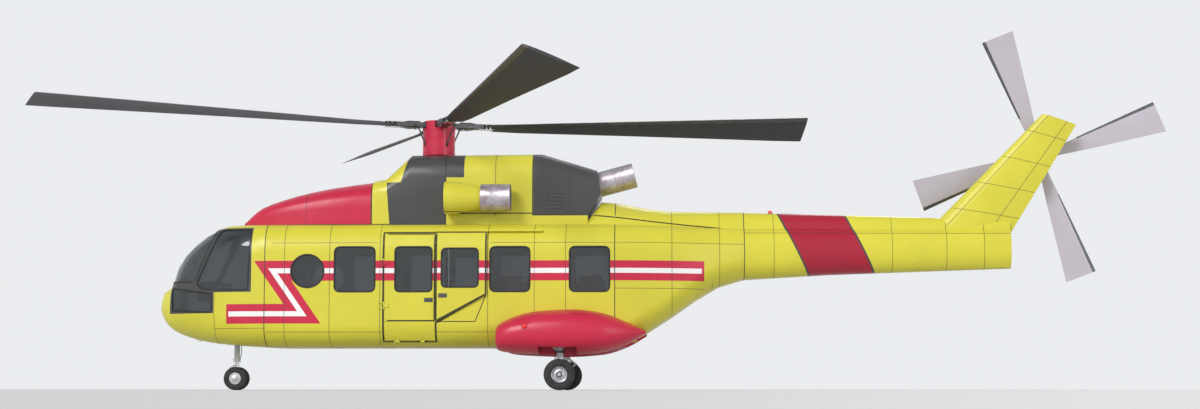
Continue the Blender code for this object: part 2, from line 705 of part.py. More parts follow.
def louvre(side, row):
    # A slat on the cowl's upright side, its top face sloping back into the wall.
    foot = LOUVRE_FOOT + LOUVRE_STEP * row
    rings = []
    for x in LOUVRE_SPAN:
        wall = rear_half(x)
        outline = [(wall - COWL_WALL / 2, foot), (wall + LOUVRE_LIP, foot),
                   (wall - COWL_WALL / 2, foot + LOUVRE_RISE)]
        rings.append([(x, SIDES[side] * y, z) for y, z in outline])
    return loft("louvre_%s_%d" % (side, row), rings)


def make_rear_cowl():
    stations = [REAR_COWL_START, 8.17, 9.32, 9.45]
    outer = [cowl_ring(x, straight(DECK_TOP, x) + FIT, straight(COWL_TOP, x), rear_half(x))
             for x in stations]
    inner = [cowl_ring(x, straight(DECK_TOP, x) + FIT, straight(COWL_TOP, x), rear_half(x), COWL_WALL, 0.2)
             for x in [REAR_COWL_START - 0.1, 8.17, 9.32, 9.44]]
    behind = REAR_END + [(9.147, 3.4), (10.0, 3.4), (10.0, 5.3), (9.32, 5.3)]
    inside_end = [(x - COWL_WALL, z) for x, z in behind]
    cowl = loft("rear_cowl", outer, "black_paint")
    hollow = loft("cut_rear_cowl", inner)
    shape(hollow, prism("cut_rear_inside", inside_end, -1.5, 1.5))
    shape(cowl, prism("cut_rear_end", behind, -1.6, 1.6))
    shape(cowl, hollow)
    for side in SIDES:
        joined(cowl, [louvre(side, row) for row in range(LOUVRE_COUNT)])
    shape(cowl, rod("cut_rear_pipe", REAR_PIPE_START - rear_pipe_axis() * 0.2,
                    REAR_PIPE_START + rear_pipe_axis() * 0.5, REAR_PIPE_RADIUS + FIT, 24))


def rear_half(x):
    return COWL_HALF - 0.28 * max(0.0, (x - 8.17) / (9.41 - 8.17))


def rear_pipe_axis():
    tilt = math.radians(REAR_PIPE_TILT)
    return Vector((math.cos(tilt), 0.0, math.sin(tilt)))


PIPE_WALL = 0.018
SIDE_PIPE_RADIUS = 0.285
SIDE_PIPE_LENGTH = 0.62
SIDE_PIPE_BORE = 0.19
REAR_PIPE_LENGTH = 0.84
REAR_PIPE_BORE = 0.05


def pipe_profile(radius, length, bore, back):
    # A pipe with an end plate; the bore is a hole in that plate.
    inner = radius - PIPE_WALL
    return [(0.0, bore), (0.0, radius), (length, radius), (length, inner), (back, inner), (back, bore)]


def make_exhausts():
    profile = pipe_profile(SIDE_PIPE_RADIUS, SIDE_PIPE_LENGTH, SIDE_PIPE_BORE, 0.03)
    for side, sign in SIDES.items():
        turned("side_exhaust_" + side, (CONE_END + FIT, sign * EXHAUST_Y, EXHAUST_Z), (1, 0, 0), profile,
               24, "exhaust_metal")
    profile = pipe_profile(REAR_PIPE_RADIUS, REAR_PIPE_LENGTH, REAR_PIPE_BORE, 0.02)
    turned("rear_exhaust", REAR_PIPE_START, rear_pipe_axis(), profile, 24, "exhaust_metal")


# Sponsons, with wells for the main legs
SPONSON_TOP = [(7.295, 1.34), (7.63, 1.50), (8.08, 1.62), (8.875, 1.663), (9.41, 1.60), (9.94, 1.41),
               (10.36, 1.21)]
SPONSON_FOOT = [(7.295, 0.81), (7.63, 0.76), (8.7, 0.7225), (9.41, 0.77), (9.94, 0.93), (10.36, 1.17)]
SPONSON_OUT = [(7.295, 2.08), (7.63, 2.20), (8.7, 2.29), (9.41, 2.20), (9.94, 1.93), (10.36, 1.52)]
SPONSON_NOSE = [(7.295, 0.84), (7.31, 0.92), (7.34, 0.975)]
SPONSON_STATIONS = [7.40, 7.50, 7.63, 7.85, 8.08, 8.38, 8.70, 8.95, 9.20, 9.41, 9.56, 9.70, 9.82, 9.94,
                    10.05, 10.16, 10.26, 10.36]
SPONSON_STEPS = 12
WELL = ((8.17, 1.52, 0.5), (8.95, 2.13, 1.39))


def sponson_ring(x, sign, squeeze=1.0):
    top = curve(SPONSON_TOP, x)
    foot = curve(SPONSON_FOOT, x)
    out = curve(SPONSON_OUT, x)
    middle = (top + foot) / 2
    rise = (top - foot) / 2 * squeeze
    reach = (out - 1.38) * squeeze
    ring = [(1.0, middle + rise)]
    for step in range(SPONSON_STEPS + 1):
        angle = math.pi / 2 - math.pi * step / SPONSON_STEPS
        level = math.copysign(abs(math.sin(angle)) ** 0.75, math.sin(angle))
        ring.append((1.38 + reach * abs(math.cos(angle)) ** 0.75, middle + rise * level))
    ring.append((1.0, max(middle - rise, 0.94)))
    return [(x, sign * y, z) for y, z in ring]


def make_sponsons():
    for side, sign in SIDES.items():
        rings = [sponson_ring(x, sign, squeeze) for x, squeeze in SPONSON_NOSE]
        rings += [sponson_ring(x, sign) for x in SPONSON_STATIONS]
        pod = loft("sponson_" + side, rings, "red_composite")
        hull = loft("cut_hull_" + side, hull_rings([7.0, 9.1, 9.41, REAR_JOINT, 9.95, 10.4, 10.6], FIT))
        shape(pod, hull)
        y_low, y_high = sorted((sign * WELL[0][1], sign * WELL[1][1]))
        well = box("cut_well_" + side, (WELL[0][0], y_low, WELL[0][2]), (WELL[1][0], y_high, WELL[1][2]))
        shape(pod, well)
        station, half, height = POSITION_LAMP
        joined(pod, [lamp("position_lamp_" + side, (station, sign * half, height), (0.0, sign, 0.0),
                          *POSITION_LAMP_SIZE)])


# Landing gear
AXLE_FIT = 0.0004


def torque_link(name, foot, head, reach, radius, carrier=None):
    # Two arms that fold at a knee, which stands out from the strut along X.
    knee = (Vector(foot) + Vector(head)) / 2 + Vector((reach, 0.0, 0.0))
    pin_half = Vector((0.0, 1.6 * radius, 0.0))
    return [rod(name + "_lower", foot, knee, radius, 10, None, carrier),
            rod(name + "_upper", knee, head, radius, 10, None, carrier),
            rod(name + "_knee", knee - pin_half, knee + pin_half, 1.3 * radius, 12, None, carrier)]


def wheel_profile(inner, radius, width, shoulder):
    half = width / 2
    return [(-half, inner), (-half, radius - shoulder * 1.6), (-half * 0.8, radius - shoulder * 0.45),
            (-half * 0.45, radius), (half * 0.45, radius), (half * 0.8, radius - shoulder * 0.45),
            (half, radius - shoulder * 1.6), (half, inner)]


def make_tyre(name, centre, inner, radius, width, carrier):
    profile = wheel_profile(inner, radius, width, width * 0.3)
    turned(name, centre, (0, 1, 0), profile, 24, "tyre_rubber", carrier)


NOSE_LEG_FOOT = 0.60
NOSE_LEG_RADIUS = 0.06
NOSE_STRUT_RADIUS = 0.045
NOSE_AXLE_RADIUS = 0.03
NOSE_AXLE_HALF = 0.2
NOSE_RIM_RADIUS = 0.125
NOSE_RIM_SIDES = (0.085, 0.195)
NOSE_TYRE_Y = 0.14
NOSE_TYRE_WIDTH = 0.13
NOSE_LINK_Z = (0.38, 0.56)
NOSE_LINK_REACH = 0.15
NOSE_LINK_RADIUS = 0.016


def make_nose_gear():
    axle_z = NOSE_WHEEL_RADIUS
    x = NOSE_GEAR_X
    split = NOSE_LEG_FOOT
    leg = rod("nose_gear_leg", (x, 0, split), (x, 0, FLOOR_TOP - FLOOR_DEPTH - FIT), NOSE_LEG_RADIUS, 20,
              "gear_steel")
    collar = rod("nose_leg_collar", (x, 0, split), (x, 0, split + 0.07), NOSE_LEG_RADIUS + 0.02, 20)
    brace = rod("nose_leg_brace", (x, 0, 0.92), (x + 0.34, 0, 1.28), NOSE_LEG_RADIUS / 2, 12)
    joined(leg, [collar, brace])
    steer = make_empty("nose_steering_axis", (x, 0.0, 0.5), DATUM)
    fork = rod("nose_fork", (x, 0, axle_z), (x, 0, split - FIT), NOSE_STRUT_RADIUS, 20, "gear_steel", steer)
    lug = rod("nose_fork_lug", (x, -0.05, axle_z), (x, 0.05, axle_z), 2 * NOSE_AXLE_RADIUS, 20, None, steer)
    link = torque_link("nose_link", (x, 0, NOSE_LINK_Z[0]), (x, 0, NOSE_LINK_Z[1]), -NOSE_LINK_REACH,
                       NOSE_LINK_RADIUS, steer)
    joined(fork, [lug, *link])
    shape(fork, rod("cut_nose_axle", (x, -0.3, axle_z), (x, 0.3, axle_z), NOSE_AXLE_RADIUS + AXLE_FIT, 20,
                    None, steer))
    roll = make_empty("nose_wheel_axis", (x, 0.0, axle_z), DATUM)
    rims = rod("nose_wheel_rims", (x, -NOSE_AXLE_HALF, axle_z), (x, NOSE_AXLE_HALF, axle_z), NOSE_AXLE_RADIUS,
               20, "wheel_alloy", roll)
    near, far = NOSE_RIM_SIDES
    for side, sign in SIDES.items():
        disc = rod("nose_rim_" + side, (x, sign * near, axle_z), (x, sign * far, axle_z), NOSE_RIM_RADIUS, 24,
                   None, roll)
        joined(rims, [disc])
    for side, sign in SIDES.items():
        make_tyre("nose_tyre_" + side, (x, sign * NOSE_TYRE_Y, axle_z), NOSE_RIM_RADIUS + FIT,
                  NOSE_WHEEL_RADIUS, NOSE_TYRE_WIDTH, roll)


MAIN_LEG_Y = 1.66
MAIN_AXLE_RADIUS = 0.035
MAIN_RIM_RADIUS = 0.16
MAIN_LEG_RADIUS = 0.07
MAIN_LINK_Z = (0.42, 0.72)
MAIN_LINK_REACH = 0.19
MAIN_LINK_RADIUS = 0.02


def make_main_gear():
    axle_z = MAIN_WHEEL_RADIUS
    x = MAIN_GEAR_X
    for side, sign in SIDES.items():
        leg_y = sign * MAIN_LEG_Y
        leg = rod("main_gear_leg_" + side, (x, leg_y, axle_z - 0.05), (x, leg_y, WELL[1][2] - FIT),
                  MAIN_LEG_RADIUS, 20, "gear_steel")
        stub = rod("main_stub_" + side, (x, leg_y, axle_z), (x, sign * 2.06, axle_z), MAIN_AXLE_RADIUS, 16)
        brace = rod("main_brace_" + side, (x, leg_y, 0.72), (x - 0.38, leg_y, 1.25), MAIN_LEG_RADIUS / 2, 12)
        link = torque_link("main_link_" + side, (x, leg_y, MAIN_LINK_Z[0]), (x, leg_y, MAIN_LINK_Z[1]),
                           MAIN_LINK_REACH, MAIN_LINK_RADIUS)
        joined(leg, [stub, brace, *link])
        roll = make_empty("main_wheel_axis_" + side, (x, sign * MAIN_WHEEL_Y, axle_z), DATUM)
        bore = MAIN_AXLE_RADIUS + AXLE_FIT
        profile = [(-0.09, bore), (-0.09, 0.07), (-0.03, 0.08), (-0.11, MAIN_RIM_RADIUS - 0.012),
                   (-0.11, MAIN_RIM_RADIUS), (0.11, MAIN_RIM_RADIUS), (0.11, MAIN_RIM_RADIUS - 0.012),
                   (0.03, 0.08), (0.09, 0.07), (0.09, bore)]
        centre = (x, sign * MAIN_WHEEL_Y, axle_z)
        turned("main_wheel_" + side, centre, (0, 1, 0), profile, 24, "wheel_alloy", roll)
        make_tyre("main_tyre_" + side, centre, MAIN_RIM_RADIUS + FIT, MAIN_WHEEL_RADIUS, 0.22, roll)


# Cabin floor, bulkhead and cockpit
def make_floor():
    plan = [(0.95, 0.55), (1.25, 0.72), (1.75, 0.95), (NOSE_JOINT, 1.17), (2.75, FLOOR_HALF),
            (9.41, FLOOR_HALF), (9.62, FLOOR_HALF - 0.03)]
    rings = []
    for z in (FLOOR_TOP - FLOOR_DEPTH, FLOOR_TOP):
        ring = [(x, -half, z) for x, half in plan] + [(x, half, z) for x, half in reversed(plan)]
        rings.append(ring)
    floor = loft("cabin_floor", rings, "cabin_grey")
    (x_low, y_low), (x_high, y_high) = CARGO_FLOOR
    cargo = box("cargo_floor", (x_low, y_low, FLOOR_TOP - FLOOR_DEPTH / 2),
                (x_high, y_high, FLOOR_TOP + CARGO_FLOOR_RISE))
    joined(floor, [cargo])


BULKHEAD = (2.62, 2.65)
BULKHEAD_DOOR_HALF = 0.36
BULKHEAD_DOOR_HEAD = 3.15


def make_bulkhead():
    front, rear = BULKHEAD[0] - 0.1, BULKHEAD[1] + 0.1
    wall = loft("cockpit_bulkhead", hull_rings(list(BULKHEAD), -CABIN_WALL - FIT), "cabin_grey")
    shape(wall, box("cut_bulkhead_foot", (front, -BEAM - 0.5, 0.0), (rear, BEAM + 0.5, FLOOR_TOP + FIT)))
    shape(wall, box("cut_bulkhead_door", (front, -BULKHEAD_DOOR_HALF, 0.0),
                    (rear, BULKHEAD_DOOR_HALF, BULKHEAD_DOOR_HEAD)))


PEDESTAL_HALF = 0.17
BOARD_HALF = 0.70
BOARD_OUTLINE = [(0.92, 1.86), (1.28, 1.86), (1.34, 2.30), (0.92, 2.24)]


def make_instrument_panel():
    pedestal_outline = [(1.18, FLOOR_TOP + FIT), (1.98, FLOOR_TOP + FIT), (1.98, 1.78), (1.45, 1.90),
                        (1.18, 1.95)]
    panel = prism("instrument_panel", pedestal_outline, -PEDESTAL_HALF, PEDESTAL_HALF, "panel_black")
    board = prism("panel_board", rounded(BOARD_OUTLINE, 0.03), -BOARD_HALF, BOARD_HALF)
    joined(panel, [board])


SEAT_X = 1.72
SEAT_Y = 0.52
SEAT_Z = 1.76
SEAT_LENGTH = 0.54
SEAT_HALF = 0.25
SEAT_BACK = 0.98
SEAT_SHEET = 0.05
SEAT_BASE_HALF = 0.16
SEAT_CUSHION_HALF = 0.21
SEAT_CUSHION_BACK = 0.90


def make_pilot_seats():
    rear = SEAT_X + SEAT_LENGTH
    for side, sign in SIDES.items():
        y = sign * SEAT_Y
        base = box("pilot_seat_" + side, (SEAT_X + 0.06, y - SEAT_BASE_HALF, FLOOR_TOP + FIT),
                   (rear - 0.08, y + SEAT_BASE_HALF, SEAT_Z - SEAT_SHEET / 2), "cabin_grey")
        pan = box("seat_pan_" + side, (SEAT_X, y - SEAT_HALF, SEAT_Z - SEAT_SHEET),
                  (rear, y + SEAT_HALF, SEAT_Z))
        back_outline = [(rear - 0.06, SEAT_Z - SEAT_SHEET), (rear, SEAT_Z - SEAT_SHEET),
                        (rear + 0.10, SEAT_Z + SEAT_BACK), (rear + 0.05, SEAT_Z + SEAT_BACK)]
        back = prism("seat_back_" + side, back_outline, y - SEAT_HALF + 0.01, y + SEAT_HALF - 0.01)
        joined(base, [pan, back])
        cushion_outline = [(SEAT_X + 0.01, SEAT_Z + FIT), (rear - 0.058, SEAT_Z + FIT),
                           (rear + 0.035, SEAT_Z + SEAT_CUSHION_BACK),
                           (rear - 0.04, SEAT_Z + SEAT_CUSHION_BACK),
                           (rear - 0.14, SEAT_Z + 0.12), (SEAT_X + 0.01, SEAT_Z + 0.10)]
        prism("pilot_cushion_" + side, cushion_outline, y - SEAT_CUSHION_HALF, y + SEAT_CUSHION_HALF,
              "seat_fabric")


BENCH_FRONT = 7.30
BENCH_REAR = 9.50
BENCH_Z = 1.78
BENCH_EDGE_Y = 0.86
BENCH_WALL_Y = 1.3397
BENCH_SHEET = 0.03
BENCH_LEG = 0.04
BENCH_LEG_Y = 0.90
BENCH_BACK = 0.62


def make_benches():
    span = BENCH_REAR - BENCH_FRONT
    for side, sign in SIDES.items():
        pan_y = sorted((sign * BENCH_EDGE_Y, sign * BENCH_WALL_Y))
        leg_y = sorted((sign * BENCH_LEG_Y, sign * (BENCH_LEG_Y + BENCH_LEG)))
        bench = box("bench_" + side, (BENCH_FRONT, pan_y[0], BENCH_Z - BENCH_SHEET),
                    (BENCH_REAR, pan_y[1], BENCH_Z), "cabin_grey")
        legs = []
        for count in range(3):
            x = BENCH_FRONT + 3 * BENCH_LEG + count * (span - 7 * BENCH_LEG) / 2
            legs.append(box("bench_leg_%s_%d" % (side, count), (x, leg_y[0], FLOOR_TOP + FIT),
                            (x + BENCH_LEG, leg_y[1], BENCH_Z - BENCH_SHEET / 3)))
        joined(bench, legs)
        back_y = BENCH_WALL_Y - 0.02
        front_y = BENCH_EDGE_Y + 0.01
        outline = [(front_y, BENCH_Z + FIT), (back_y, BENCH_Z + FIT), (back_y, BENCH_Z + BENCH_BACK),
                   (back_y - 0.06, BENCH_Z + BENCH_BACK), (back_y - 0.08, BENCH_Z + 0.09),
                   (front_y, BENCH_Z + 0.08)]
        rings = [[(x, sign * y, z) for y, z in outline] for x in (BENCH_FRONT + 0.02, BENCH_REAR - 0.02)]
        loft("bench_cushion_" + side, rings, "bench_fabric")


# Glass: panes in the openings, held together by an inner strip
PANE_OUT = -0.012
LINER = 0.012
PANE_BITE = 0.006
DOOR_PANE = (-0.034, PANE_OUT)
SLIDING_PANE = (RUNNING + 0.012, RUNNING + 0.036)
SLIDING_WALL = 0.045


def make_cockpit_glazing():
    stations = [x for x in NOSE_STATIONS if 0.30 <= x] + [NOSE_JOINT]
    liner_out = -NOSE_WALL - FIT
    liner_in = -NOSE_WALL - LINER
    glass = shell("cockpit_glazing", hull_rings(stations, liner_out), hull_rings(stations, liner_in),
                  True, True, "tinted_glass")
    keep = prism("keep_glazing", [(0.20, 1.60), (1.36, 1.56), (1.36, 1.97), (2.18, 1.97), (2.22, 3.42),
                                  (1.30, 3.42), (0.20, 3.2)], -2, 2)
    shape(glass, keep, "INTERSECT")
    pads = shell("pane_band", hull_rings(stations, PANE_OUT), hull_rings(stations, -NOSE_WALL - PANE_BITE),
                 True, True)
    cutters = cockpit_cutters("pane", 2 * FIT)
    windows = cutters[0]
    for cutter in cutters[1:]:
        shape(windows, cutter, "UNION")
    shape(pads, windows, "INTERSECT")
    shape(glass, pads, "UNION")


def glass_group(name, side, outlines, x_low, x_high):
    panes = side_band(name + "_band", x_low - 0.3, x_high + 0.3, -CABIN_WALL - PANE_BITE, PANE_OUT)
    shapes = [side_prism("%s_pane_%d" % (name, k), outline, side) for k, outline in enumerate(outlines)]
    windows = joined(shapes[0], shapes[1:])
    shape(panes, windows, "INTERSECT")
    strip = side_band(name, x_low - 0.3, x_high + 0.3, -CABIN_WALL - LINER, -CABIN_WALL - FIT, "tinted_glass")
    band = box_outline(x_low - 0.03, x_high + 0.03, WINDOW_SILL - 0.03, WINDOW_HEAD + 0.03)
    shape(strip, side_prism(name + "_strip", band, side), "INTERSECT")
    shape(strip, panes, "UNION")


def make_cabin_glass():
    for side in SIDES:
        forward = [round_outline(ROUND_WINDOW[0], ROUND_WINDOW[1], ROUND_WINDOW[2] - FIT),
                   rounded(inset(SIDE_WINDOWS["forward"], FIT), WINDOW_CORNER)]
        glass_group("cabin_glass_forward_" + side, side, forward, ROUND_WINDOW[0] - ROUND_WINDOW[2],
                    FORWARD_WINDOW[1])
        aft = [rounded(inset(SIDE_WINDOWS[label], FIT), WINDOW_CORNER) for label in ("aft_1", "aft_2")]
        glass_group("cabin_glass_aft_" + side, side, aft, AFT_WINDOWS[0][0], AFT_WINDOWS[1][1])


# Doors
def door_pane(name, side, outline, depths, carrier):
    pane = side_band(name, 4.8, 7.3, *depths, "tinted_glass", carrier)
    shape(pane, side_prism(name + "_keep", rounded(inset(outline, FIT), 0.10), side), "INTERSECT")


def make_front_door(side):
    sign = SIDES[side]
    axis_y = sign * (BEAM + HINGE_OUT)
    axis = make_empty("front_door_axis_" + side, (DOOR_FRONT, axis_y, DOOR_SILL), DATUM)
    leaf = side_band("front_door_" + side, 4.8, 6.2, -CABIN_WALL, 0.0, "yellow_paint", axis)
    shape(leaf, side_prism("keep_front_leaf_" + side, FRONT_LEAF, side), "INTERSECT")
    shape(leaf, side_prism("cut_front_window_" + side, rounded(FRONT_DOOR_WINDOW, 0.10), side))
    for index, height in enumerate(DOOR_HINGE_HEIGHTS):
        low = height - HINGE_BARREL / 2 + FIT
        high = height + HINGE_BARREL / 2
        name = "leaf_hinge_%s_%d" % (side, index)
        barrel = rod(name, (DOOR_FRONT, axis_y, low), (DOOR_FRONT, axis_y, high), HINGE_RADIUS, 16, None,
                     axis)
        outer_y = sorted((sign * (BEAM + 2 * FIT), sign * (BEAM + HINGE_OUT + HINGE_COVER)))
        strap = box(name + "_strap", (DOOR_FRONT + PIN_SIDE, outer_y[0], low + TIE_INSET),
                    (DOOR_FRONT + HINGE_LEAF, outer_y[1], high - TIE_INSET), None, axis)
        inner_y = sorted((sign * (BEAM - SKIN_BITE), sign * (BEAM + HINGE_OUT)))
        foot = box(name + "_foot", (DOOR_FRONT + 0.3 * HINGE_LEAF, inner_y[0], low + PIN_SIDE),
                   (DOOR_FRONT + 0.95 * HINGE_LEAF, inner_y[1], high - PIN_SIDE), None, axis)
        joined(leaf, [barrel, strap, foot])
    door_pane("front_door_glass_" + side, side, FRONT_DOOR_WINDOW, DOOR_PANE, axis)


def make_sliding_door(side):
    track = make_empty("sliding_door_track_" + side, (DOOR_SPLIT, SIDES[side] * BEAM, DOOR_HEAD), DATUM)
    leaf = side_band("sliding_door_" + side, 5.8, 7.3, RUNNING, RUNNING + SLIDING_WALL, "yellow_paint", track)
    shape(leaf, side_prism("keep_sliding_" + side, SLIDING_LEAF, side), "INTERSECT")
    shape(leaf, side_prism("cut_sliding_window_" + side, rounded(SLIDING_DOOR_WINDOW, 0.10), side))
    door_pane("sliding_door_glass_" + side, side, SLIDING_DOOR_WINDOW, SLIDING_PANE, track)


STEP_HINGE_Y = -1.2333
STEP_HINGE_Z = 1.0035
LOW_BARREL_RADIUS = 0.012
LOW_BARREL = 0.06
STEP_HINGE_STATIONS = (5.20, 5.74)
RAMP_HINGE_SIDES = (-0.5, 0.5)


def step_hinge_part(tag, station, low, high, tie_low, tie_high, carrier):
    # A knuckle on the step panel's axis with the tie that joins it to its panel.
    name = "step_hinge_%s_%.2f_%.3f" % (tag, station, low)
    barrel = rod(name, (low, STEP_HINGE_Y, STEP_HINGE_Z), (high, STEP_HINGE_Y, STEP_HINGE_Z),
                 LOW_BARREL_RADIUS, 12, None, carrier)
    tie = box(name + "_tie", (low + TIE_INSET, tie_low[0], tie_low[1]),
              (high - TIE_INSET, tie_high[0], tie_high[1]), None, carrier)
    return [barrel, tie]


def make_step_panel():
    axis = make_empty("step_panel_axis", (DOOR_FRONT, STEP_HINGE_Y, STEP_HINGE_Z), DATUM)
    panel = side_band("step_panel_port", 4.8, 6.2, -CABIN_WALL, 0.0, "yellow_paint", axis)
    outline = box_outline(DOOR_FRONT + RUNNING, DOOR_SPLIT - RUNNING, STEP_FOOT, DOOR_SILL)
    shape(panel, side_prism("keep_step", outline, "port"), "INTERSECT")
    for station in STEP_HINGE_STATIONS:
        joined(panel, step_hinge_part("leaf", station, station - LOW_BARREL / 2, station + LOW_BARREL / 2,
                                      (STEP_HINGE_Y - LOW_BARREL_RADIUS, STEP_HINGE_Z),
                                      (STEP_HINGE_Y + 0.008, STEP_HINGE_Z + 0.05), axis))


def make_step_hinge_blocks():
    blocks = []
    for station in STEP_HINGE_STATIONS:
        for low in (station - LOW_BARREL * 1.1, station + LOW_BARREL / 2 + FIT):
            high = low + LOW_BARREL * 0.6 - FIT
            blocks += step_hinge_part("hull", station, low, high,
                                      (STEP_HINGE_Y - LOW_BARREL_RADIUS, STEP_HINGE_Z - 0.02),
                                      (STEP_HINGE_Y + 0.07, STEP_HINGE_Z), None)
    return blocks


def ramp_keel(x):
    # Height of the belly along the first straight panel under the ramp.
    front, rear = REAR_STATIONS[0], REAR_STATIONS[1]
    share = (x - front) / (rear - front)
    return curve(KEEL_LINE, front) * (1 - share) + curve(KEEL_LINE, rear) * share


def ramp_hinge():
    x = RAMP_FRONT + RUNNING / 2
    slope = (ramp_keel(x + 0.1) - ramp_keel(x)) / 0.1
    stand_off = 0.0165 / math.hypot(1.0, slope)
    return Vector((x + slope * stand_off, 0.0, ramp_keel(x) - stand_off))


def ramp_hinge_part(tag, y_low, y_high, x_low, x_high, z_low, z_high, carrier):
    name = "ramp_hinge_%s_%.3f" % (tag, y_low)
    pivot = ramp_hinge()
    barrel = rod(name, (pivot.x, y_low, pivot.z), (pivot.x, y_high, pivot.z), LOW_BARREL_RADIUS, 12, None,
                 carrier)
    tie = box(name + "_tie", (x_low, y_low + TIE_INSET, z_low), (x_high, y_high - TIE_INSET, z_high), None,
              carrier)
    return [barrel, tie]


def make_ramp_hinge_blocks():
    pivot = ramp_hinge()
    blocks = []
    for centre in RAMP_HINGE_SIDES:
        for low in (centre - LOW_BARREL * 1.1, centre + LOW_BARREL / 2 + FIT):
            blocks += ramp_hinge_part("hull", low, low + LOW_BARREL * 0.6 - FIT, pivot.x - 0.07, pivot.x,
                                      pivot.z - 0.009, ramp_keel(pivot.x - 0.07) + 0.02, None)
    return blocks


def make_ramp():
    pivot = ramp_hinge()
    axis = make_empty("ramp_axis", pivot, DATUM)
    stations = [9.9] + REAR_STATIONS + [12.2]
    ramp = shell("rear_ramp", hull_rings(sorted(stations)), hull_rings(sorted(stations), -REAR_WALL),
                 True, True, "yellow_paint", axis)
    keep = box("keep_ramp", (RAMP_FRONT + RUNNING, -RAMP_HALF + RUNNING, 0.5),
               (RAMP_REAR - RUNNING, RAMP_HALF - RUNNING, 2.35), None, axis)
    shape(ramp, keep, "INTERSECT")
    for centre in RAMP_HINGE_SIDES:
        joined(ramp, ramp_hinge_part("leaf", centre - LOW_BARREL / 2, centre + LOW_BARREL / 2,
                                     pivot.x - 0.006, pivot.x + 0.08, pivot.z,
                                     ramp_keel(pivot.x + 0.06) + 0.02, axis))


# Main rotor: heights are from the blades' plane, reaches from the mast
MAST_RADIUS = 0.15
BARREL = (-0.12, 0.0547, 0.24)
SWASHPLATE = (-0.64, -0.57, 0.27)
ARM_SECTION = (0.13, 0.05)
ARM_SLOT = (0.15, 0.07)
GRIP = [(0.38, 0.11, 0.04), (0.45, 0.15, 0.075), (0.68, 0.15, 0.075), (0.90, 0.11, 0.04)]
HORN = ((0.52, 0.10, -0.02), (0.52, 0.25, -0.02), 0.028)
PITCH_LINK = ((0.52, 0.225, -0.01), (0.235, 0.06, -0.60), 0.017)
LINK_SLOT_RADIUS = 0.036
MAST_FAIRING_RADIUS = 0.345
MAST_FAIRING_WALL = 0.03
MAST_FAIRING = (-0.662, 0.065, 0.085)


def make_rotor_head():
    axis = make_empty("main_rotor_axis", (MAST_X, 0.0, HEAD_Z), DATUM)
    head = Vector((MAST_X, 0.0, HEAD_Z))
    hub = rod("rotor_hub", (MAST_X, 0, GEARBOX[1][2] + FIT), head, MAST_RADIUS, 20, "gear_steel", axis)
    for name, (low, high, radius) in (("hub_barrel", BARREL), ("hub_swashplate", SWASHPLATE)):
        joined(hub, [spindle(name, head, (0, 0, 1), [(low, radius), (high, radius)], 24, None, axis)])
    holes = []
    for count in range(4):
        turn = Matrix.Rotation(math.radians(MAST_TURN + 90.0 * count), 3, "Z")
        arm = spoke("hub_arm_%d" % count, turn, [(0.0, *ARM_SECTION), (ARM_REACH, *ARM_SECTION)], 0.0, axis)
        grip = spoke("hub_grip_%d" % count, turn, GRIP, 0.4, axis)
        horn_start, horn_end, horn_radius = HORN
        horn = rod("hub_horn_%d" % count, head + turn @ Vector(horn_start), head + turn @ Vector(horn_end),
                   horn_radius, 12, None, axis)
        link_start, link_end, link_radius = PITCH_LINK
        ends = (head + turn @ Vector(link_start), head + turn @ Vector(link_end))
        joined(hub, [arm, grip, horn, rod("hub_link_%d" % count, *ends, link_radius, 10, None, axis)])
        holes.append(spoke("cut_arm_%d" % count, turn, [(0.2, *ARM_SLOT), (0.5, *ARM_SLOT)], 0.0, axis))
        holes.append(rod("cut_link_%d" % count, *ends, LINK_SLOT_RADIUS, 12, None, axis))
    foot, shoulder, top = MAST_FAIRING
    outer = MAST_FAIRING_RADIUS
    inner = outer - MAST_FAIRING_WALL
    profile = [(foot, outer), (shoulder, outer), (top, outer - (top - shoulder))]
    fairing = spindle("mast_fairing", head, (0, 0, 1), profile, 28, "red_paint", axis)
    shape(fairing, spindle("cut_fairing_core", head, (0, 0, 1),
                           [(foot - CUT_DROP, inner), (top - MAST_FAIRING_WALL, inner)], 28, None, axis))
    for hole in holes:
        shape(fairing, hole)
    return axis


def spoke(name, turn, sections, chamfer, carrier):
    # Rings at (reach, half width, half depth), their corners cut by a share of the depth.
    rings = []
    for reach, half_width, half_depth in sections:
        cut = half_depth * chamfer
        corners = [(half_width, half_depth - cut), (half_width - cut, half_depth)] if cut else [
            (half_width, half_depth)]
        quarter = corners + [(-y, z) for y, z in reversed(corners)]
        outline = quarter + [(-y, -z) for y, z in quarter]
        points = [turn @ Vector((reach, y, z)) for y, z in outline]
        rings.append([(MAST_X + p.x, p.y, HEAD_Z + p.z) for p in points])
    return loft(name, rings, None, carrier)


# Blade stations: (radius, chord, thickness, pitch in degrees). The main rotor turns clockwise seen from
# above, and its trailing edges end farther out than its leading edges by TIP_SLANT.
MAIN_BLADE = [(ARM_REACH + FIT, 0.26, 0.10, 4.0), (1.25, 0.34, 0.085, 18.0), (1.8, 0.42, 0.055, 20.0),
              (4.5, 0.69, 0.075, 21.0), (7.9, 1.06, 0.09, 22.0), (ROTOR_RADIUS, 1.10, 0.06, 22.0)]
CONING = 2.4
TIP_SLANT = 0.218


def blade_ring(radius, chord, thickness, pitch, slant, lift):
    # A foil across the blade with its leading edge toward +Y, turned up by the pitch.
    tilt = math.radians(pitch)
    ring = []
    for share, sign in foil_loop():
        along = (0.30 - share) * chord
        up = sign * foil(share, 1.0) * thickness
        y = along * math.cos(tilt) - up * math.sin(tilt)
        z = along * math.sin(tilt) + up * math.cos(tilt)
        ring.append((radius + slant * (0.5 - share), y, z + lift))
    return ring


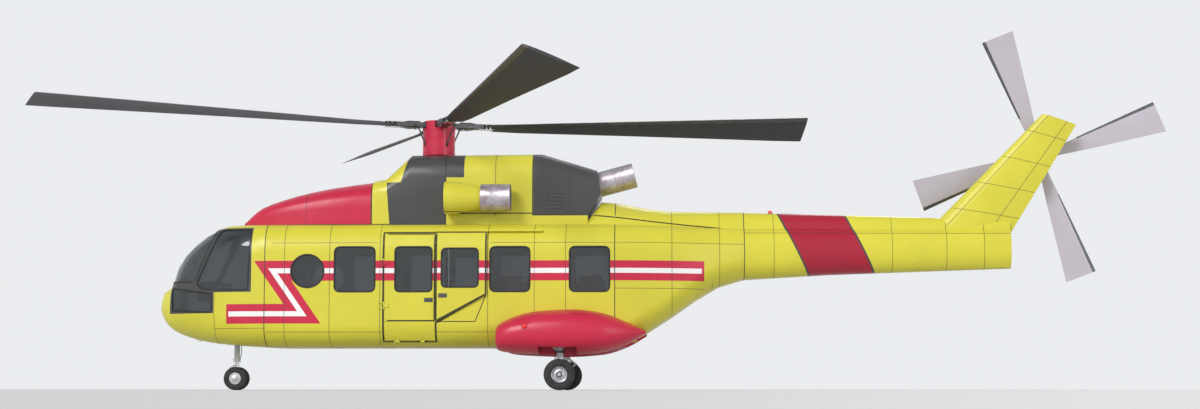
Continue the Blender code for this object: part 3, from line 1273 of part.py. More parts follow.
def make_main_blades(axis):
    for count in range(4):
        turn = Matrix.Rotation(math.radians(MAST_TURN + 90.0 * count), 3, "Z")
        rings = []
        for radius, chord, thickness, pitch in MAIN_BLADE:
            slant = -TIP_SLANT if radius == ROTOR_RADIUS else 0.0
            lift = (radius - ARM_REACH) * math.tan(math.radians(CONING))
            ring = blade_ring(radius, chord, thickness, pitch, slant, lift)
            points = [turn @ Vector((x, -y, z)) for x, y, z in ring]
            rings.append([(MAST_X + p.x, p.y, HEAD_Z + p.z) for p in points])
        loft("main_blade_%d" % (count + 1), rings, "blade_composite", axis, 25.0)


# Tail rotor on the starboard side of the fin
TAIL_BLADE = [(0.10, 0.16, 0.09, 0.0), (0.45, 0.20, 0.06, 9.0), (1.2, 0.38, 0.05, 9.0),
              (TAIL_ROTOR_RADIUS, 0.70, 0.045, 8.0)]
TAIL_DISC_Y = 0.52


def make_tail_rotor():
    axis = make_empty("tail_rotor_axis", (TAIL_ROTOR_X, TAIL_DISC_Y, TAIL_ROTOR_Z), DATUM)
    hub = rod("tail_rotor", (TAIL_ROTOR_X, TAIL_HUB_Y + FIT, TAIL_ROTOR_Z),
              (TAIL_ROTOR_X, TAIL_DISC_Y + 0.10, TAIL_ROTOR_Z), 0.17, 24, "tail_blade_composite", axis)
    blades = []
    for count in range(4):
        turn = Matrix.Rotation(math.radians(TAIL_TURN + 90.0 * count), 3, "Y").inverted()
        rings = []
        for radius, chord, thickness, pitch in TAIL_BLADE:
            ring = blade_ring(radius, chord, thickness, pitch, 0.0, 0.0)
            laid = [turn @ Vector((x, z, y)) for x, y, z in ring]
            rings.append([(TAIL_ROTOR_X + p.x, TAIL_DISC_Y + p.y, TAIL_ROTOR_Z + p.z) for p in laid])
        blades.append(loft("tail_blade_%d" % (count + 1), rings, None, axis, 25.0))
    joined(hub, blades)


make_nose()
make_cabin()
make_rear_fuselage()
make_tail_boom()
make_fin()
make_deck()
make_forward_fairing()
make_mast_cowl()
make_engine_cowl()
make_rear_cowl()
make_exhausts()
make_sponsons()
make_nose_gear()
make_main_gear()
make_floor()
make_bulkhead()
make_instrument_panel()
make_pilot_seats()
make_benches()
make_cockpit_glazing()
make_cabin_glass()
for door_side in SIDES:
    make_front_door(door_side)
    make_sliding_door(door_side)
make_step_panel()
make_ramp()
make_main_blades(make_rotor_head())
make_tail_rotor()
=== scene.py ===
# The looks of the rescue helicopter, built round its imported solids.
# A station is counted aft from the nose tip, and station_x turns it into the frame's X.
import json
import math

import bmesh
import bpy
from mathutils import Matrix, Vector
from mathutils.bvhtree import BVHTree

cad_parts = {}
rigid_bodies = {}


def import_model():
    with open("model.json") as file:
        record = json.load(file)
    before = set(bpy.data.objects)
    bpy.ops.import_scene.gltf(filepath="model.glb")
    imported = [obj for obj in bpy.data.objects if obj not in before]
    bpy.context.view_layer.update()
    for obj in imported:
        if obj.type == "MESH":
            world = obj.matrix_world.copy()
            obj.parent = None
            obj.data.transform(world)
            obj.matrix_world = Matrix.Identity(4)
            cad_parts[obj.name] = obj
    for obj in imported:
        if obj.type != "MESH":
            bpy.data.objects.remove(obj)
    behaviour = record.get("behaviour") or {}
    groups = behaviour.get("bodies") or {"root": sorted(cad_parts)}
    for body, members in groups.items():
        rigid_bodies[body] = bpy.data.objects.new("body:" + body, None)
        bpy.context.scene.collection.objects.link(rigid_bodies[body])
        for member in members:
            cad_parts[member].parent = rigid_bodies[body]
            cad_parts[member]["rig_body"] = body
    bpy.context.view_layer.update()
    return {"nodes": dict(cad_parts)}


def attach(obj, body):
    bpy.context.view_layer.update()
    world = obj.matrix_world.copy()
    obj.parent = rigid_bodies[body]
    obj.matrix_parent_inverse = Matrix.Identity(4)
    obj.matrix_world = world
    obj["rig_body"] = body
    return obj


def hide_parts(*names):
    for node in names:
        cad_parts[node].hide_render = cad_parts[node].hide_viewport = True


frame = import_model()
NODES = frame["nodes"]

# Driving dimensions, as in the part
DATUM_X = -9.687
BEAM = 1.40
ROOF = 3.456
REAR_JOINT = 9.72
BOOM_END = 18.07
MAST_X = 5.911
HEAD_Z = 5.66
MAST_TURN = 18.0
ROTOR_RADIUS = 8.5
ARM_REACH = 0.95
TAIL_ROTOR = (18.815, 0.52, 5.018)
TAIL_RADIUS = 2.73
TAIL_TURN = 21.0
NOSE_GEAR_X = 1.62
NOSE_WHEEL_RADIUS = 0.2475
MAIN_GEAR_X = 8.60
MAIN_WHEEL_RADIUS = 0.32
MAIN_WHEEL_Y = 1.93
MAIN_LEG_Y = 1.66
FLOOR_TOP = 1.38
PLATE_TOP = 1.386
HULL_MIDDLE = 2.15
SIDES = {"port": -1.0, "starboard": 1.0}

YELLOW = (0.62, 0.565, 0.045)
RED = (0.54, 0.018, 0.055)
DEEP_RED = (0.36, 0.012, 0.032)
WHITE = (0.82, 0.81, 0.80)
BLACK = (0.058, 0.057, 0.058)
LILAC = (0.46, 0.42, 0.465)


def station_x(station):
    return station + DATUM_X


# Materials
AMOUNTS = {"metallic": "Metallic", "coat": "Coat Weight", "specular": "Specular IOR Level",
           "sheen": "Sheen Weight", "clear": "Transmission Weight", "ior": "IOR"}


class Paint:
    # A procedural material that is put together by calls.
    def __init__(self, name):
        self.material = bpy.data.materials.new(name)
        self.material.use_nodes = True
        self.tree = self.material.node_tree
        self.shader = self.tree.nodes["Principled BSDF"]
        self.set("Coat Roughness", 0.18)
        self.vector = self.node("TexCoord").outputs["Object"]
        split = self.node("SeparateXYZ", self.vector)
        self.station = self.math("SUBTRACT", split.outputs[0], DATUM_X)
        self.side = split.outputs[1]
        self.height = split.outputs[2]

    def join(self, value, target):
        if hasattr(value, "is_output"):
            self.tree.links.new(value, target)
        elif target.type == "RGBA":
            target.default_value = (*value, 1.0)
        else:
            target.default_value = value

    def set(self, socket, value):
        self.join(value, self.shader.inputs[socket])

    def node(self, kind, *values):
        # A new node whose first inputs take the values.
        made = self.tree.nodes.new("ShaderNode" + kind)
        for target, value in zip(made.inputs, values):
            self.join(value, target)
        return made

    def math(self, operation, a, b=0.0):
        node = self.node("Math", a, b)
        node.operation = operation
        return node.outputs[0]

    def above(self, value, limit):
        return self.math("GREATER_THAN", value, limit)

    def below(self, value, limit):
        return self.math("LESS_THAN", value, limit)

    def near(self, value, centre, half):
        return self.below(self.math("ABSOLUTE", self.math("SUBTRACT", value, centre)), half)

    def fold(self, operation, masks):
        result = masks[0]
        for mask in masks[1:]:
            result = self.math(operation, result, mask)
        return result

    def both(self, *masks):
        return self.fold("MULTIPLY", masks)

    def either(self, *masks):
        return self.fold("MAXIMUM", masks)

    def mix(self, mask, low, high, blend="MIX"):
        node = self.tree.nodes.new("ShaderNodeMix")
        node.data_type = "RGBA"
        node.blend_type = blend
        for value, index in ((mask, 0), (low, 6), (high, 7)):
            self.join(value, node.inputs[index])
        return node.outputs[2]

    def noise(self, scale, detail=3.0, stretch=(1.0, 1.0, 1.0)):
        mapping = self.node("Mapping", self.vector)
        mapping.inputs["Scale"].default_value = stretch
        node = self.node("TexNoise", mapping.outputs[0])
        node.inputs["Scale"].default_value = scale
        node.inputs["Detail"].default_value = detail
        return node.outputs["Fac"]

    def spread(self, value, low, high):
        # The middle of a noise, spread over a range.
        return self.node("MapRange", value, 0.35, 0.65, low, high).outputs[0]

    def weathered(self, colour, spots, low, high):
        # Broad, faint unevenness of a surface.
        cloud = self.spread(self.noise(spots), low, high)
        grey = self.node("CombineColor", cloud, cloud, cloud)
        return self.mix(1.0, colour, grey.outputs[0], "MULTIPLY")

    def bump(self, height, distance, strength):
        node = self.node("Bump")
        for socket, value in (("Strength", strength), ("Distance", distance), ("Height", height)):
            self.join(value, node.inputs[socket])
        self.set("Normal", node.outputs[0])


def surface(paint, colour, clouds, rough, grain=(3.0, 3.0), relief=None, **amounts):
    # The roughness is one number or a range over a noise; relief is (scale, detail, distance, strength).
    if isinstance(paint, str):
        paint = Paint(paint)
    paint.set("Base Color", paint.weathered(colour, *clouds))
    if isinstance(rough, tuple):
        rough = paint.spread(paint.noise(*grain), *rough)
    paint.set("Roughness", rough)
    if relief:
        paint.bump(paint.noise(*relief[:2]), *relief[2:])
    for name, value in amounts.items():
        paint.set(AMOUNTS[name], value)
    return paint.material


def painted(paint, colour, rough=(0.34, 0.42), coat=0.06, sheet=0.0025):
    return surface(paint, colour, (1.1, 0.955, 1.02), rough, relief=(1.3, 1.0, sheet, 1.0), coat=coat,
                   specular=0.35)


def metal(name, colour, rough=(0.25, 0.4), metallic=1.0, grain=40.0):
    return surface(name, colour, (7.0, 0.85, 1.08), rough, (grain, 4.0), metallic=metallic)


def rubber(name, colour, rough=(0.6, 0.8)):
    return surface(name, colour, (12.0, 0.7, 1.3), rough, (30.0, 3.0), (220.0, 2.0, 0.0006, 0.5))


def cloth(name, colour, thread=420.0):
    return surface(name, colour, (9.0, 0.8, 1.1), 0.92, relief=(thread, 2.0, 0.0012, 0.8), sheen=0.35)


def lamp_glass(name, colour, strength=0.4):
    paint = Paint(name)
    paint.set("Base Color", colour)
    paint.set("Coat Weight", 0.8)
    paint.set("Roughness", paint.spread(paint.noise(40.0, 1.0), 0.05, 0.12))
    paint.set("Emission Color", colour)
    paint.set("Emission Strength", strength)
    return paint.material


def exhaust_metal():
    paint = Paint("heat_tinted_steel")
    tint = paint.spread(paint.noise(3.0, 5.0, (2.0, 1.0, 1.0)), 0.0, 1.0)
    colour = paint.mix(tint, (0.62, 0.57, 0.63), (0.44, 0.37, 0.40))
    return surface(paint, colour, (14.0, 0.8, 1.05), (0.28, 0.5), (22.0, 4.0), (30.0, 3.0, 0.001, 0.5),
                   metallic=0.75)


# Livery: the folded red and white stripe, the boom band and the black cowls.
# A stripe is (middle height, half width); a band edge is (station, height).
STRIPE_TOP = (2.4685, 0.208)
STRIPE_FOOT = (1.578, 0.204)
STRIPE_ENDS = (1.631, 11.573)
STRIPE_FOLD = (2.593, 2.503)
FOLD_DIRECTION = (0.8213, 0.5705)
STRIPE_WHITE = 0.052
WHITE_INSET = 0.05
BAND_FRONT = (13.17, 3.74)
BAND_REAR = (14.555, 3.687)
BAND_SLANT = 0.49
BAND_EDGE = 0.045


def stripe_masks(paint):
    offsets = [paint.math("SUBTRACT", value, middle)
               for value, middle in zip((paint.station, paint.height), STRIPE_FOLD)]
    fold = paint.math("ADD", *(paint.math("MULTIPLY", offset, share)
                               for offset, share in zip(offsets, FOLD_DIRECTION)))
    masks = []
    for top_half, foot_half, inset in ((STRIPE_TOP[1], STRIPE_FOOT[1], 0.0),
                                       (STRIPE_WHITE, STRIPE_WHITE, WHITE_INSET)):
        top = paint.both(paint.near(paint.height, STRIPE_TOP[0], top_half), paint.above(fold, -top_half),
                         paint.below(paint.station, STRIPE_ENDS[1] - inset))
        foot = paint.both(paint.near(paint.height, STRIPE_FOOT[0], foot_half), paint.below(fold, foot_half),
                          paint.above(paint.station, STRIPE_ENDS[0] + inset))
        diagonal = paint.both(paint.near(fold, 0.0, foot_half),
                              paint.above(paint.height, STRIPE_FOOT[0] - foot_half),
                              paint.below(paint.height, STRIPE_TOP[0] + top_half))
        masks.append(paint.either(top, foot, diagonal))
    return masks


def band_mask(paint, margin):
    lean = paint.math("ADD", paint.station, paint.math("MULTIPLY", paint.height, BAND_SLANT))
    front, rear = (station + height * BAND_SLANT for station, height in (BAND_FRONT, BAND_REAR))
    return paint.both(paint.above(lean, front - margin), paint.below(lean, rear + margin))


# Black surround of the cockpit glass, over the posts between the panes
SURROUND_REAR = 2.16
SURROUND_TOP = 3.385
SURROUND_FOOT = 2.035
WINDSCREEN_FOOT = 2.235
CHIN_BLOCK = ((0.31, 1.60), (1.345, 2.15))
NOSE_STRIP = 0.12


def surround_mask(paint):
    (front, low), (rear, high) = CHIN_BLOCK
    ahead = paint.both(paint.below(paint.station, SURROUND_REAR), paint.below(paint.height, SURROUND_TOP))
    upper = paint.both(ahead, paint.above(paint.height, WINDSCREEN_FOOT))
    lower = paint.both(ahead, paint.above(paint.height, SURROUND_FOOT), paint.above(paint.station, front))
    chin = paint.both(paint.above(paint.station, front), paint.below(paint.station, rear),
                      paint.above(paint.height, low), paint.below(paint.height, high))
    outside = paint.above(paint.math("ABSOLUTE", paint.side), NOSE_STRIP)
    return paint.either(upper, paint.both(outside, paint.either(lower, chin)))


def hull_paint():
    paint = Paint("hull_yellow")
    red, white = stripe_masks(paint)
    colour = paint.mix(red, YELLOW, RED)
    colour = paint.mix(white, colour, WHITE)
    colour = paint.mix(surround_mask(paint), colour, BLACK)
    colour = paint.mix(band_mask(paint, BAND_EDGE), colour, BLACK)
    colour = paint.mix(band_mask(paint, 0.0), colour, DEEP_RED)
    return painted(paint, colour)


# The black of the mast cowl starts at a raked edge and steps at its shoulder
COWL_SHOULDER = 4.36
LOWER_EDGE = (0.08, 5.246)
UPPER_EDGE = (-0.265, 4.047)


def cowl_paint():
    paint = Paint("cowl_black_and_yellow")
    masks = []
    for part, (rake, start) in ((paint.below, LOWER_EDGE), (paint.above, UPPER_EDGE)):
        lean = paint.math("ADD", paint.station, paint.math("MULTIPLY", paint.height, rake))
        masks.append(paint.both(part(paint.height, COWL_SHOULDER), paint.above(lean, start)))
    return painted(paint, paint.mix(paint.either(*masks), YELLOW, BLACK), (0.30, 0.42), 0.1)


def engine_cowl_paint():
    paint = Paint("engine_cowl_yellow")
    black = paint.both(paint.above(paint.height, 4.46), paint.below(paint.station, 6.537))
    return painted(paint, paint.mix(black, YELLOW, BLACK))


# Each paint's slot and material
PAINTS = {
    "hull": ("yellow_paint", hull_paint()),
    "cowl": ("black_paint", cowl_paint()),
    "engine_cowl": ("yellow_paint", engine_cowl_paint()),
    "red": ("red_paint", painted("gloss_red", RED)),
    "black": ("black_paint", painted("satin_black", BLACK, (0.32, 0.44), 0.1)),
    "lilac": ("tail_blade_composite", painted("grey_lilac", LILAC, (0.3, 0.4), 0.2, 0.001)),
    "grey": ("gear_steel", painted("gear_grey", (0.55, 0.56, 0.58), (0.3, 0.42), 0.2, 0.0005)),
    "lining": ("cabin_grey", surface("cabin_lining", (0.34, 0.36, 0.37), (6.0, 0.85, 1.05), 0.85,
                                     relief=(60.0, 2.0, 0.002, 0.4))),
    "floor_deck": ("cabin_grey", metal("floor_plate", (0.20, 0.21, 0.215), (0.5, 0.7), 0.2, 50.0)),
    "panel": ("panel_black", painted("panel_black", (0.02, 0.02, 0.021), (0.6, 0.75), 0.0, 0.0005)),
    "steel": ("gear_steel", metal("bright_steel", (0.62, 0.63, 0.65), (0.18, 0.3))),
    "alloy": ("wheel_alloy", metal("cast_alloy", (0.58, 0.59, 0.61), (0.3, 0.45))),
    "dark_steel": ("gear_steel", metal("dark_steel", (0.12, 0.12, 0.125), (0.35, 0.5), 0.8)),
    "exhaust": ("exhaust_metal", exhaust_metal()),
    "soot": ("exhaust_metal", surface("soot", (0.02, 0.018, 0.017), (20.0, 0.6, 1.3), 0.95)),
    "rubber": ("tyre_rubber", rubber("black_rubber", (0.018, 0.018, 0.018))),
    "tyre": ("tyre_rubber", rubber("tyre_black", (0.024, 0.024, 0.025), (0.7, 0.9))),
    "sealant": ("tyre_rubber", rubber("joint_sealant", (0.035, 0.033, 0.03), (0.5, 0.7))),
    "glass": ("tinted_glass", surface("tinted_glass", (0.22, 0.24, 0.25), (1.5, 0.92, 1.06), 0.02,
                                      clear=0.85, ior=1.42)),
    "blade": ("blade_composite", surface("blade_black", (0.055, 0.054, 0.057), (2.0, 0.85, 1.15),
                                         (0.58, 0.70), (2.0, 3.0), specular=0.25)),
    "seat_cloth": ("seat_fabric", cloth("seat_cloth", (0.055, 0.075, 0.10))),
    "bench_cloth": ("bench_fabric", cloth("bench_cloth", (0.40, 0.07, 0.035))),
    "belt": ("seat_fabric", cloth("belt_webbing", (0.30, 0.31, 0.30), 600.0)),
    "screen": ("tinted_glass", lamp_glass("display_glass", (0.01, 0.03, 0.035), 0.15)),
    "lamp_red": ("red_composite", lamp_glass("lamp_red", (0.75, 0.01, 0.01), 0.5)),
    "lamp_green": ("tinted_glass", lamp_glass("lamp_green", (0.01, 0.55, 0.08), 0.5)),
    "lamp_clear": ("tinted_glass", lamp_glass("lamp_clear", (0.8, 0.82, 0.85), 0.3)),
}


# Meshes
def linked(name, data):
    obj = bpy.data.objects.new(name, data)
    bpy.context.scene.collection.objects.link(obj)
    return obj


def axes_of(axis):
    along = Vector(axis).normalized()
    helper = Vector((0.0, 0.0, 1.0)) if abs(along.z) < 0.9 else Vector((1.0, 0.0, 0.0))
    across = along.cross(helper).normalized()
    return along, across, across.cross(along).normalized()


def circle(count):
    angles = (2.0 * math.pi * k / count for k in range(count))
    return [(math.cos(angle), math.sin(angle)) for angle in angles]


def ring_of(centre, across, up, radius, sides):
    return [Vector(centre) + (across * c + up * s) * radius for c, s in circle(sides)]


class Bundle:
    # Gathers many small solids into one piece.
    def __init__(self):
        self.verts = []
        self.faces = []

    def add(self, verts, faces):
        start = len(self.verts)
        self.verts += [Vector(v) for v in verts]
        self.faces += [tuple(start + i for i in face) for face in faces]

    def loft(self, rings, closed=False):
        count = len(rings[0])
        total = len(rings)
        faces = []
        for ring in range(total if closed else total - 1):
            here, there = ring * count, (ring + 1) % total * count
            for i in range(count):
                j = (i + 1) % count
                faces.append((here + i, here + j, there + j, there + i))
        if not closed:
            faces.append(tuple(range(count)))
            faces.append(tuple(range((total - 1) * count, total * count)))
        self.add([v for ring in rings for v in ring], faces)

    def lathe(self, centre, axis, profile, sides=32):
        # The profile lists (distance along the axis, radius); a closed outline.
        along, across, up = axes_of(axis)
        self.loft([[Vector(centre) + along * a + (across * c + up * s) * r for a, r in profile]
                   for c, s in circle(sides)], closed=True)

    def rod(self, start, end, radius, sides=12):
        _, across, up = axes_of(Vector(end) - Vector(start))
        self.loft([ring_of(point, across, up, radius, sides) for point in (start, end)])

    def tube(self, points, radius, sides=8):
        rings = []
        up = Vector((0.0, 0.0, 1.0))
        last = len(points) - 1
        for i, point in enumerate(points):
            tangent = (Vector(points[min(i + 1, last)]) - Vector(points[max(i - 1, 0)])).normalized()
            if i == 0 and abs(tangent.z) > 0.9:
                up = Vector((1.0, 0.0, 0.0))
            across = tangent.cross(up).normalized()
            up = across.cross(tangent).normalized()
            rings.append(ring_of(point, across, up, radius, sides))
        self.loft(rings)

    def box(self, low, high, bevel=0.0):
        (x0, y0, z0), (x1, y1, z1) = low, high
        if not bevel:
            self.loft([[(x0, y, z0), (x1, y, z0), (x1, y, z1), (x0, y, z1)] for y in (y0, y1)])
            return
        rings = []
        for y, inset in ((y0, bevel), (y0 + bevel, 0.0), (y1 - bevel, 0.0), (y1, bevel)):
            left, right, foot, top = x0 + inset, x1 - inset, z0 + inset, z1 - inset
            rings.append([(left, y, foot + bevel), (left + bevel, y, foot), (right - bevel, y, foot),
                          (right, y, foot + bevel), (right, y, top - bevel), (right - bevel, y, top),
                          (left + bevel, y, top), (left, y, top - bevel)])
        self.loft(rings)

    def slab(self, centre, along, across, size, bevel):
        # A box turned to two directions; size is (along, across, up).
        forward = Vector(along).normalized()
        side = Vector(across).normalized()
        up = forward.cross(side)
        loose = Bundle()
        half = [s / 2 for s in size]
        loose.box([-h for h in half], half, bevel)
        self.add([Vector(centre) + forward * v.x + side * v.y + up * v.z for v in loose.verts], loose.faces)

    def dome(self, point, normal, radius, height, sides=6):
        along, across, up = axes_of(normal)
        base = Vector(point) - along * height * 0.3
        verts = ring_of(base, across, up, radius, sides)
        verts += ring_of(base + along * (height * 0.9), across, up, radius * 0.75, sides)
        verts.append(base + along * height * 1.3)
        faces = [(i, (i + 1) % sides, sides + (i + 1) % sides, sides + i) for i in range(sides)]
        faces += [(sides + i, sides + (i + 1) % sides, 2 * sides) for i in range(sides)]
        faces.append(tuple(range(sides)))
        self.add(verts, faces)

    def piece(self, name, paint, body="airframe", angle=35.0, replaced=None):
        mesh = bpy.data.meshes.new(name)
        mesh.from_pydata([tuple(v) for v in self.verts], [], self.faces)
        work = bmesh.new()
        work.from_mesh(mesh)
        bmesh.ops.recalc_face_normals(work, faces=work.faces)
        work.to_mesh(mesh)
        work.free()
        mesh.shade_smooth()
        mesh.set_sharp_from_angle(angle=math.radians(angle))
        slot, material = PAINTS[paint]
        mesh.materials.append(material)
        obj = linked(name, mesh)
        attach(obj, body)
        if replaced:
            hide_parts(replaced)


# Skins: each shown solid is redone with merged corners and smooth shading
PAINTED_NODES = {
    "hull": "nose_section cabin_shell rear_fuselage tail_boom tail_fin engine_deck front_door_port "
            "front_door_starboard sliding_door_port sliding_door_starboard step_panel_port rear_ramp",
    "engine_cowl": "engine_cowl",
    "cowl": "mast_cowl",
    "black": "rear_cowl",
    "red": "mast_fairing forward_fairing sponson_port sponson_starboard",
    "grey": "nose_gear_leg main_gear_leg_port main_gear_leg_starboard nose_fork",
    "dark_steel": "rotor_hub",
    "alloy": "nose_wheel_rims",
    "lining": "cockpit_bulkhead pilot_seat_port pilot_seat_starboard bench_port bench_starboard",
    "floor_deck": "cabin_floor",
    "panel": "instrument_panel",
    "glass": " ".join(node for node in NODES if "glass" in node or node == "cockpit_glazing"),
}
LINED = ("nose_section", "cabin_shell", "rear_fuselage", "tail_boom", "rear_ramp", "front_door_port",
         "front_door_starboard", "step_panel_port")
MERGE = 0.0001


def is_inside(node, centre, normal):
    # True for the face of a hull skin that looks into the cabin.
    middle = Vector((max(centre.x, station_x(2.0)), 0.0, HULL_MIDDLE))
    if node in ("rear_fuselage", "tail_boom", "rear_ramp"):
        middle.z = 2.4 + 0.11 * (centre.x - station_x(REAR_JOINT))
    return normal.dot(centre - middle) < -0.05


def merged_mesh(mesh):
    work = bmesh.new()
    work.from_mesh(mesh)
    bmesh.ops.remove_doubles(work, verts=work.verts, dist=MERGE)
    return work


def make_skin(node, paint):
    source = NODES[node]
    mesh = source.data.copy()
    work = merged_mesh(mesh)
    bmesh.ops.dissolve_limit(work, angle_limit=math.radians(0.2), verts=work.verts, edges=work.edges)
    lined = node in LINED
    for face in work.faces:
        face.material_index = int(lined and is_inside(node, face.calc_center_median(), face.normal))
    work.to_mesh(mesh)
    work.free()
    if "custom_normal" in mesh.attributes:
        mesh.attributes.remove(mesh.attributes["custom_normal"])
    mesh.shade_smooth()
    mesh.set_sharp_from_angle(angle=math.radians(32.0))
    mesh.materials.clear()
    mesh.materials.append(PAINTS[paint][1])
    if lined:
        mesh.materials.append(PAINTS["lining"][1])
    skin = linked(node + "_skin", mesh)
    skin.modifiers.new("even_normals", "WEIGHTED_NORMAL").keep_sharp = True
    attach(skin, source["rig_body"])
    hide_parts(node)


for paint_name, node_names in PAINTED_NODES.items():
    for node_name in node_names.split():
        make_skin(node_name, paint_name)


# Rays onto the solids, to lay details on their skins
def tree_of(*names):
    verts = []
    faces = []
    for name in names:
        mesh = NODES[name].data
        start = len(verts)
        verts += [v.co.copy() for v in mesh.vertices]
        faces += [tuple(start + i for i in p.vertices) for p in mesh.polygons]
    return BVHTree.FromPolygons(verts, faces)


HULL_TREE = tree_of("nose_section", "cabin_shell", "rear_fuselage", "tail_boom")
GLASS_TREE = tree_of("cockpit_glazing", "nose_section")
LEAF_TREES = {leaf + side: tree_of(leaf + side)
              for leaf in ("front_door_", "sliding_door_") for side in SIDES}


def cast(tree, origin, direction):
    direction = Vector(direction).normalized()
    point, normal, _, _ = tree.ray_cast(Vector(origin), direction)
    if point is None:
        return None
    return point, -normal if normal.dot(direction) > 0 else normal


def side_hit(tree, side, station, height, deepest):
    sign = SIDES[side]
    found = cast(tree, (station_x(station), sign * 4.0, height), (0.0, -sign, 0.0))
    if found is None or found[0].y * sign < deepest:
        return None
    return found


def side_path(tree, side, outline, deepest=0.0, step=0.06, closed=True):
    # Hits along an outline of (station, height) points.
    total = len(outline)
    path = []
    for i in range(total if closed else total - 1):
        a = Vector(outline[i])
        b = Vector(outline[(i + 1) % total])
        pieces = max(1, int((b - a).length / step))
        for k in range(pieces):
            path.append(side_hit(tree, side, *a.lerp(b, k / pieces), deepest))
    if not closed:
        path.append(side_hit(tree, side, *outline[-1], deepest))
    return path


def runs_of(path, closed, jump=0.09):
    # Splits a path where the skin is missing or drops away.
    runs = [[]]
    for item in path:
        if item is None:
            runs.append([])
            continue
        if runs[-1] and abs((item[0] - runs[-1][-1][0]).dot(item[1])) > jump:
            runs.append([])
        runs[-1].append(item)
    if closed and len(runs) == 1:
        return [(runs[0], True)]
    if closed and runs[0] and runs[-1] and path[0] is not None and path[-1] is not None:
        runs[0] = runs.pop() + runs[0]
    return [(run, False) for run in runs if len(run) > 1]


# Cross sections of beads as (share of the width, share of the height)
ROUND = ((-0.5, 0.0), (-0.36, 0.75), (0.0, 1.0), (0.36, 0.75), (0.5, 0.0))
FLAT = ((-0.5, 0.0), (-0.4, 1.0), (0.4, 1.0), (0.5, 0.0))
SINK = 0.002


def bead(bundle, path, width, height, closed=False, profile=ROUND):
    for run, is_closed in runs_of(path, closed):
        rings = []
        last = len(run) - 1
        for i, (point, normal) in enumerate(run):
            before = run[i - 1][0] if i or is_closed else point
            after = run[(i + 1) % len(run)][0] if i < last or is_closed else point
            across = (after - before).normalized().cross(normal).normalized()
            rings.append([point + across * t * width + normal * (h * height if h else -SINK)
                          for t, h in profile])
        bundle.loft(rings, closed=is_closed)


RIVET_OFFSET = 0.03
RIVET_STEP = 0.07
RIVET = (0.0055, 0.0014)


def rivet_row(bundle, path, offset, closed=False):
    for run, is_closed in runs_of(path, closed):
        points = run + [run[0]] if is_closed else run
        carried = RIVET_STEP / 2
        for (a, normal_a), (b, normal_b) in zip(points, points[1:]):
            length = (b - a).length
            if length < 1e-6:
                continue
            tangent = (b - a) / length
            while carried < length:
                share = carried / length
                normal = normal_a.lerp(normal_b, share).normalized()
                bundle.dome(a.lerp(b, share) + tangent.cross(normal).normalized() * offset, normal, *RIVET)
                carried += RIVET_STEP
            carried -= length


def corners_of(outline):
    # Each corner with its two neighbours.
    total = len(outline)
    for i in range(total):
        yield [Vector(outline[k % total]) for k in (i - 1, i, i + 1)]


def rounded(outline, radius, steps=4):
    points = []
    for before, corner, after in corners_of(outline):
        start = corner + (before - corner).normalized() * radius
        end = corner + (after - corner).normalized() * radius
        for t in (step / steps for step in range(steps + 1)):
            points.append(tuple(start * (1 - t) ** 2 + corner * 2 * t * (1 - t) + end * t ** 2))
    return points


def grown(outline, distance):
    # Moves a convex outline's corners outward.
    centre = sum((Vector(p) for p in outline), Vector((0.0, 0.0))) / len(outline)
    moved = []
    for before, corner, after in corners_of(outline):
        normals = []
        for edge in (corner - before, after - corner):
            normal = Vector((-edge.y, edge.x)).normalized()
            normals.append(normal if normal.dot(corner - centre) > 0 else -normal)
        bisector = (normals[0] + normals[1]).normalized()
        moved.append(tuple(corner + bisector * distance / max(0.3, bisector.dot(normals[0]))))
    return moved


def rectangle(front, rear, low, high):
    return [(front, low), (rear, low), (rear, high), (front, high)]


# Window and door outlines, as in the part
WINDOW_SILL = 2.04
WINDOW_HEAD = 2.955
WINDOW_CORNER = 0.12
ROUND_WINDOW = (3.337, 2.462, 0.335)
CABIN_WINDOWS = [(3.91, 4.735), (7.14, 7.95), (8.79, 9.60)]
LEAF_WINDOWS = {"front_door_": rectangle(5.17, 5.92, WINDOW_SILL, WINDOW_HEAD),
                "sliding_door_": rectangle(6.14, 6.885, 2.13, 2.92)}
SIDE_GLASS = [(1.45, 3.34), (2.12, 3.34), (2.08, 2.08), (1.12, 2.10), (0.95, 2.20)]
CHIN_GLASS = [(0.36, 2.13), (1.30, 2.00), (1.29, 1.63), (0.37, 1.665)]
DOORWAY = [(4.935, 1.415), (6.04, 1.415), (7.03, 1.98), (7.03, 3.25), (4.935, 3.25)]
FRONT_LEAF = rectangle(4.943, 5.992, 1.423, 3.242)
SLIDING_LEAF = [(6.005, 1.415), (6.03, 1.415), (7.065, 1.97), (7.065, 3.285), (6.005, 3.285)]
STEP_FOOT = 1.02
STEP_REAR = 6.0
LOWER_PANEL = [(7.055, 1.98), (6.83, 1.415), (6.04, 1.415)]
SEAL = 0.034
SEAL_HEIGHT = 0.007
WINDOW_LAP = 0.009
HINGE_CLEAR = 0.05


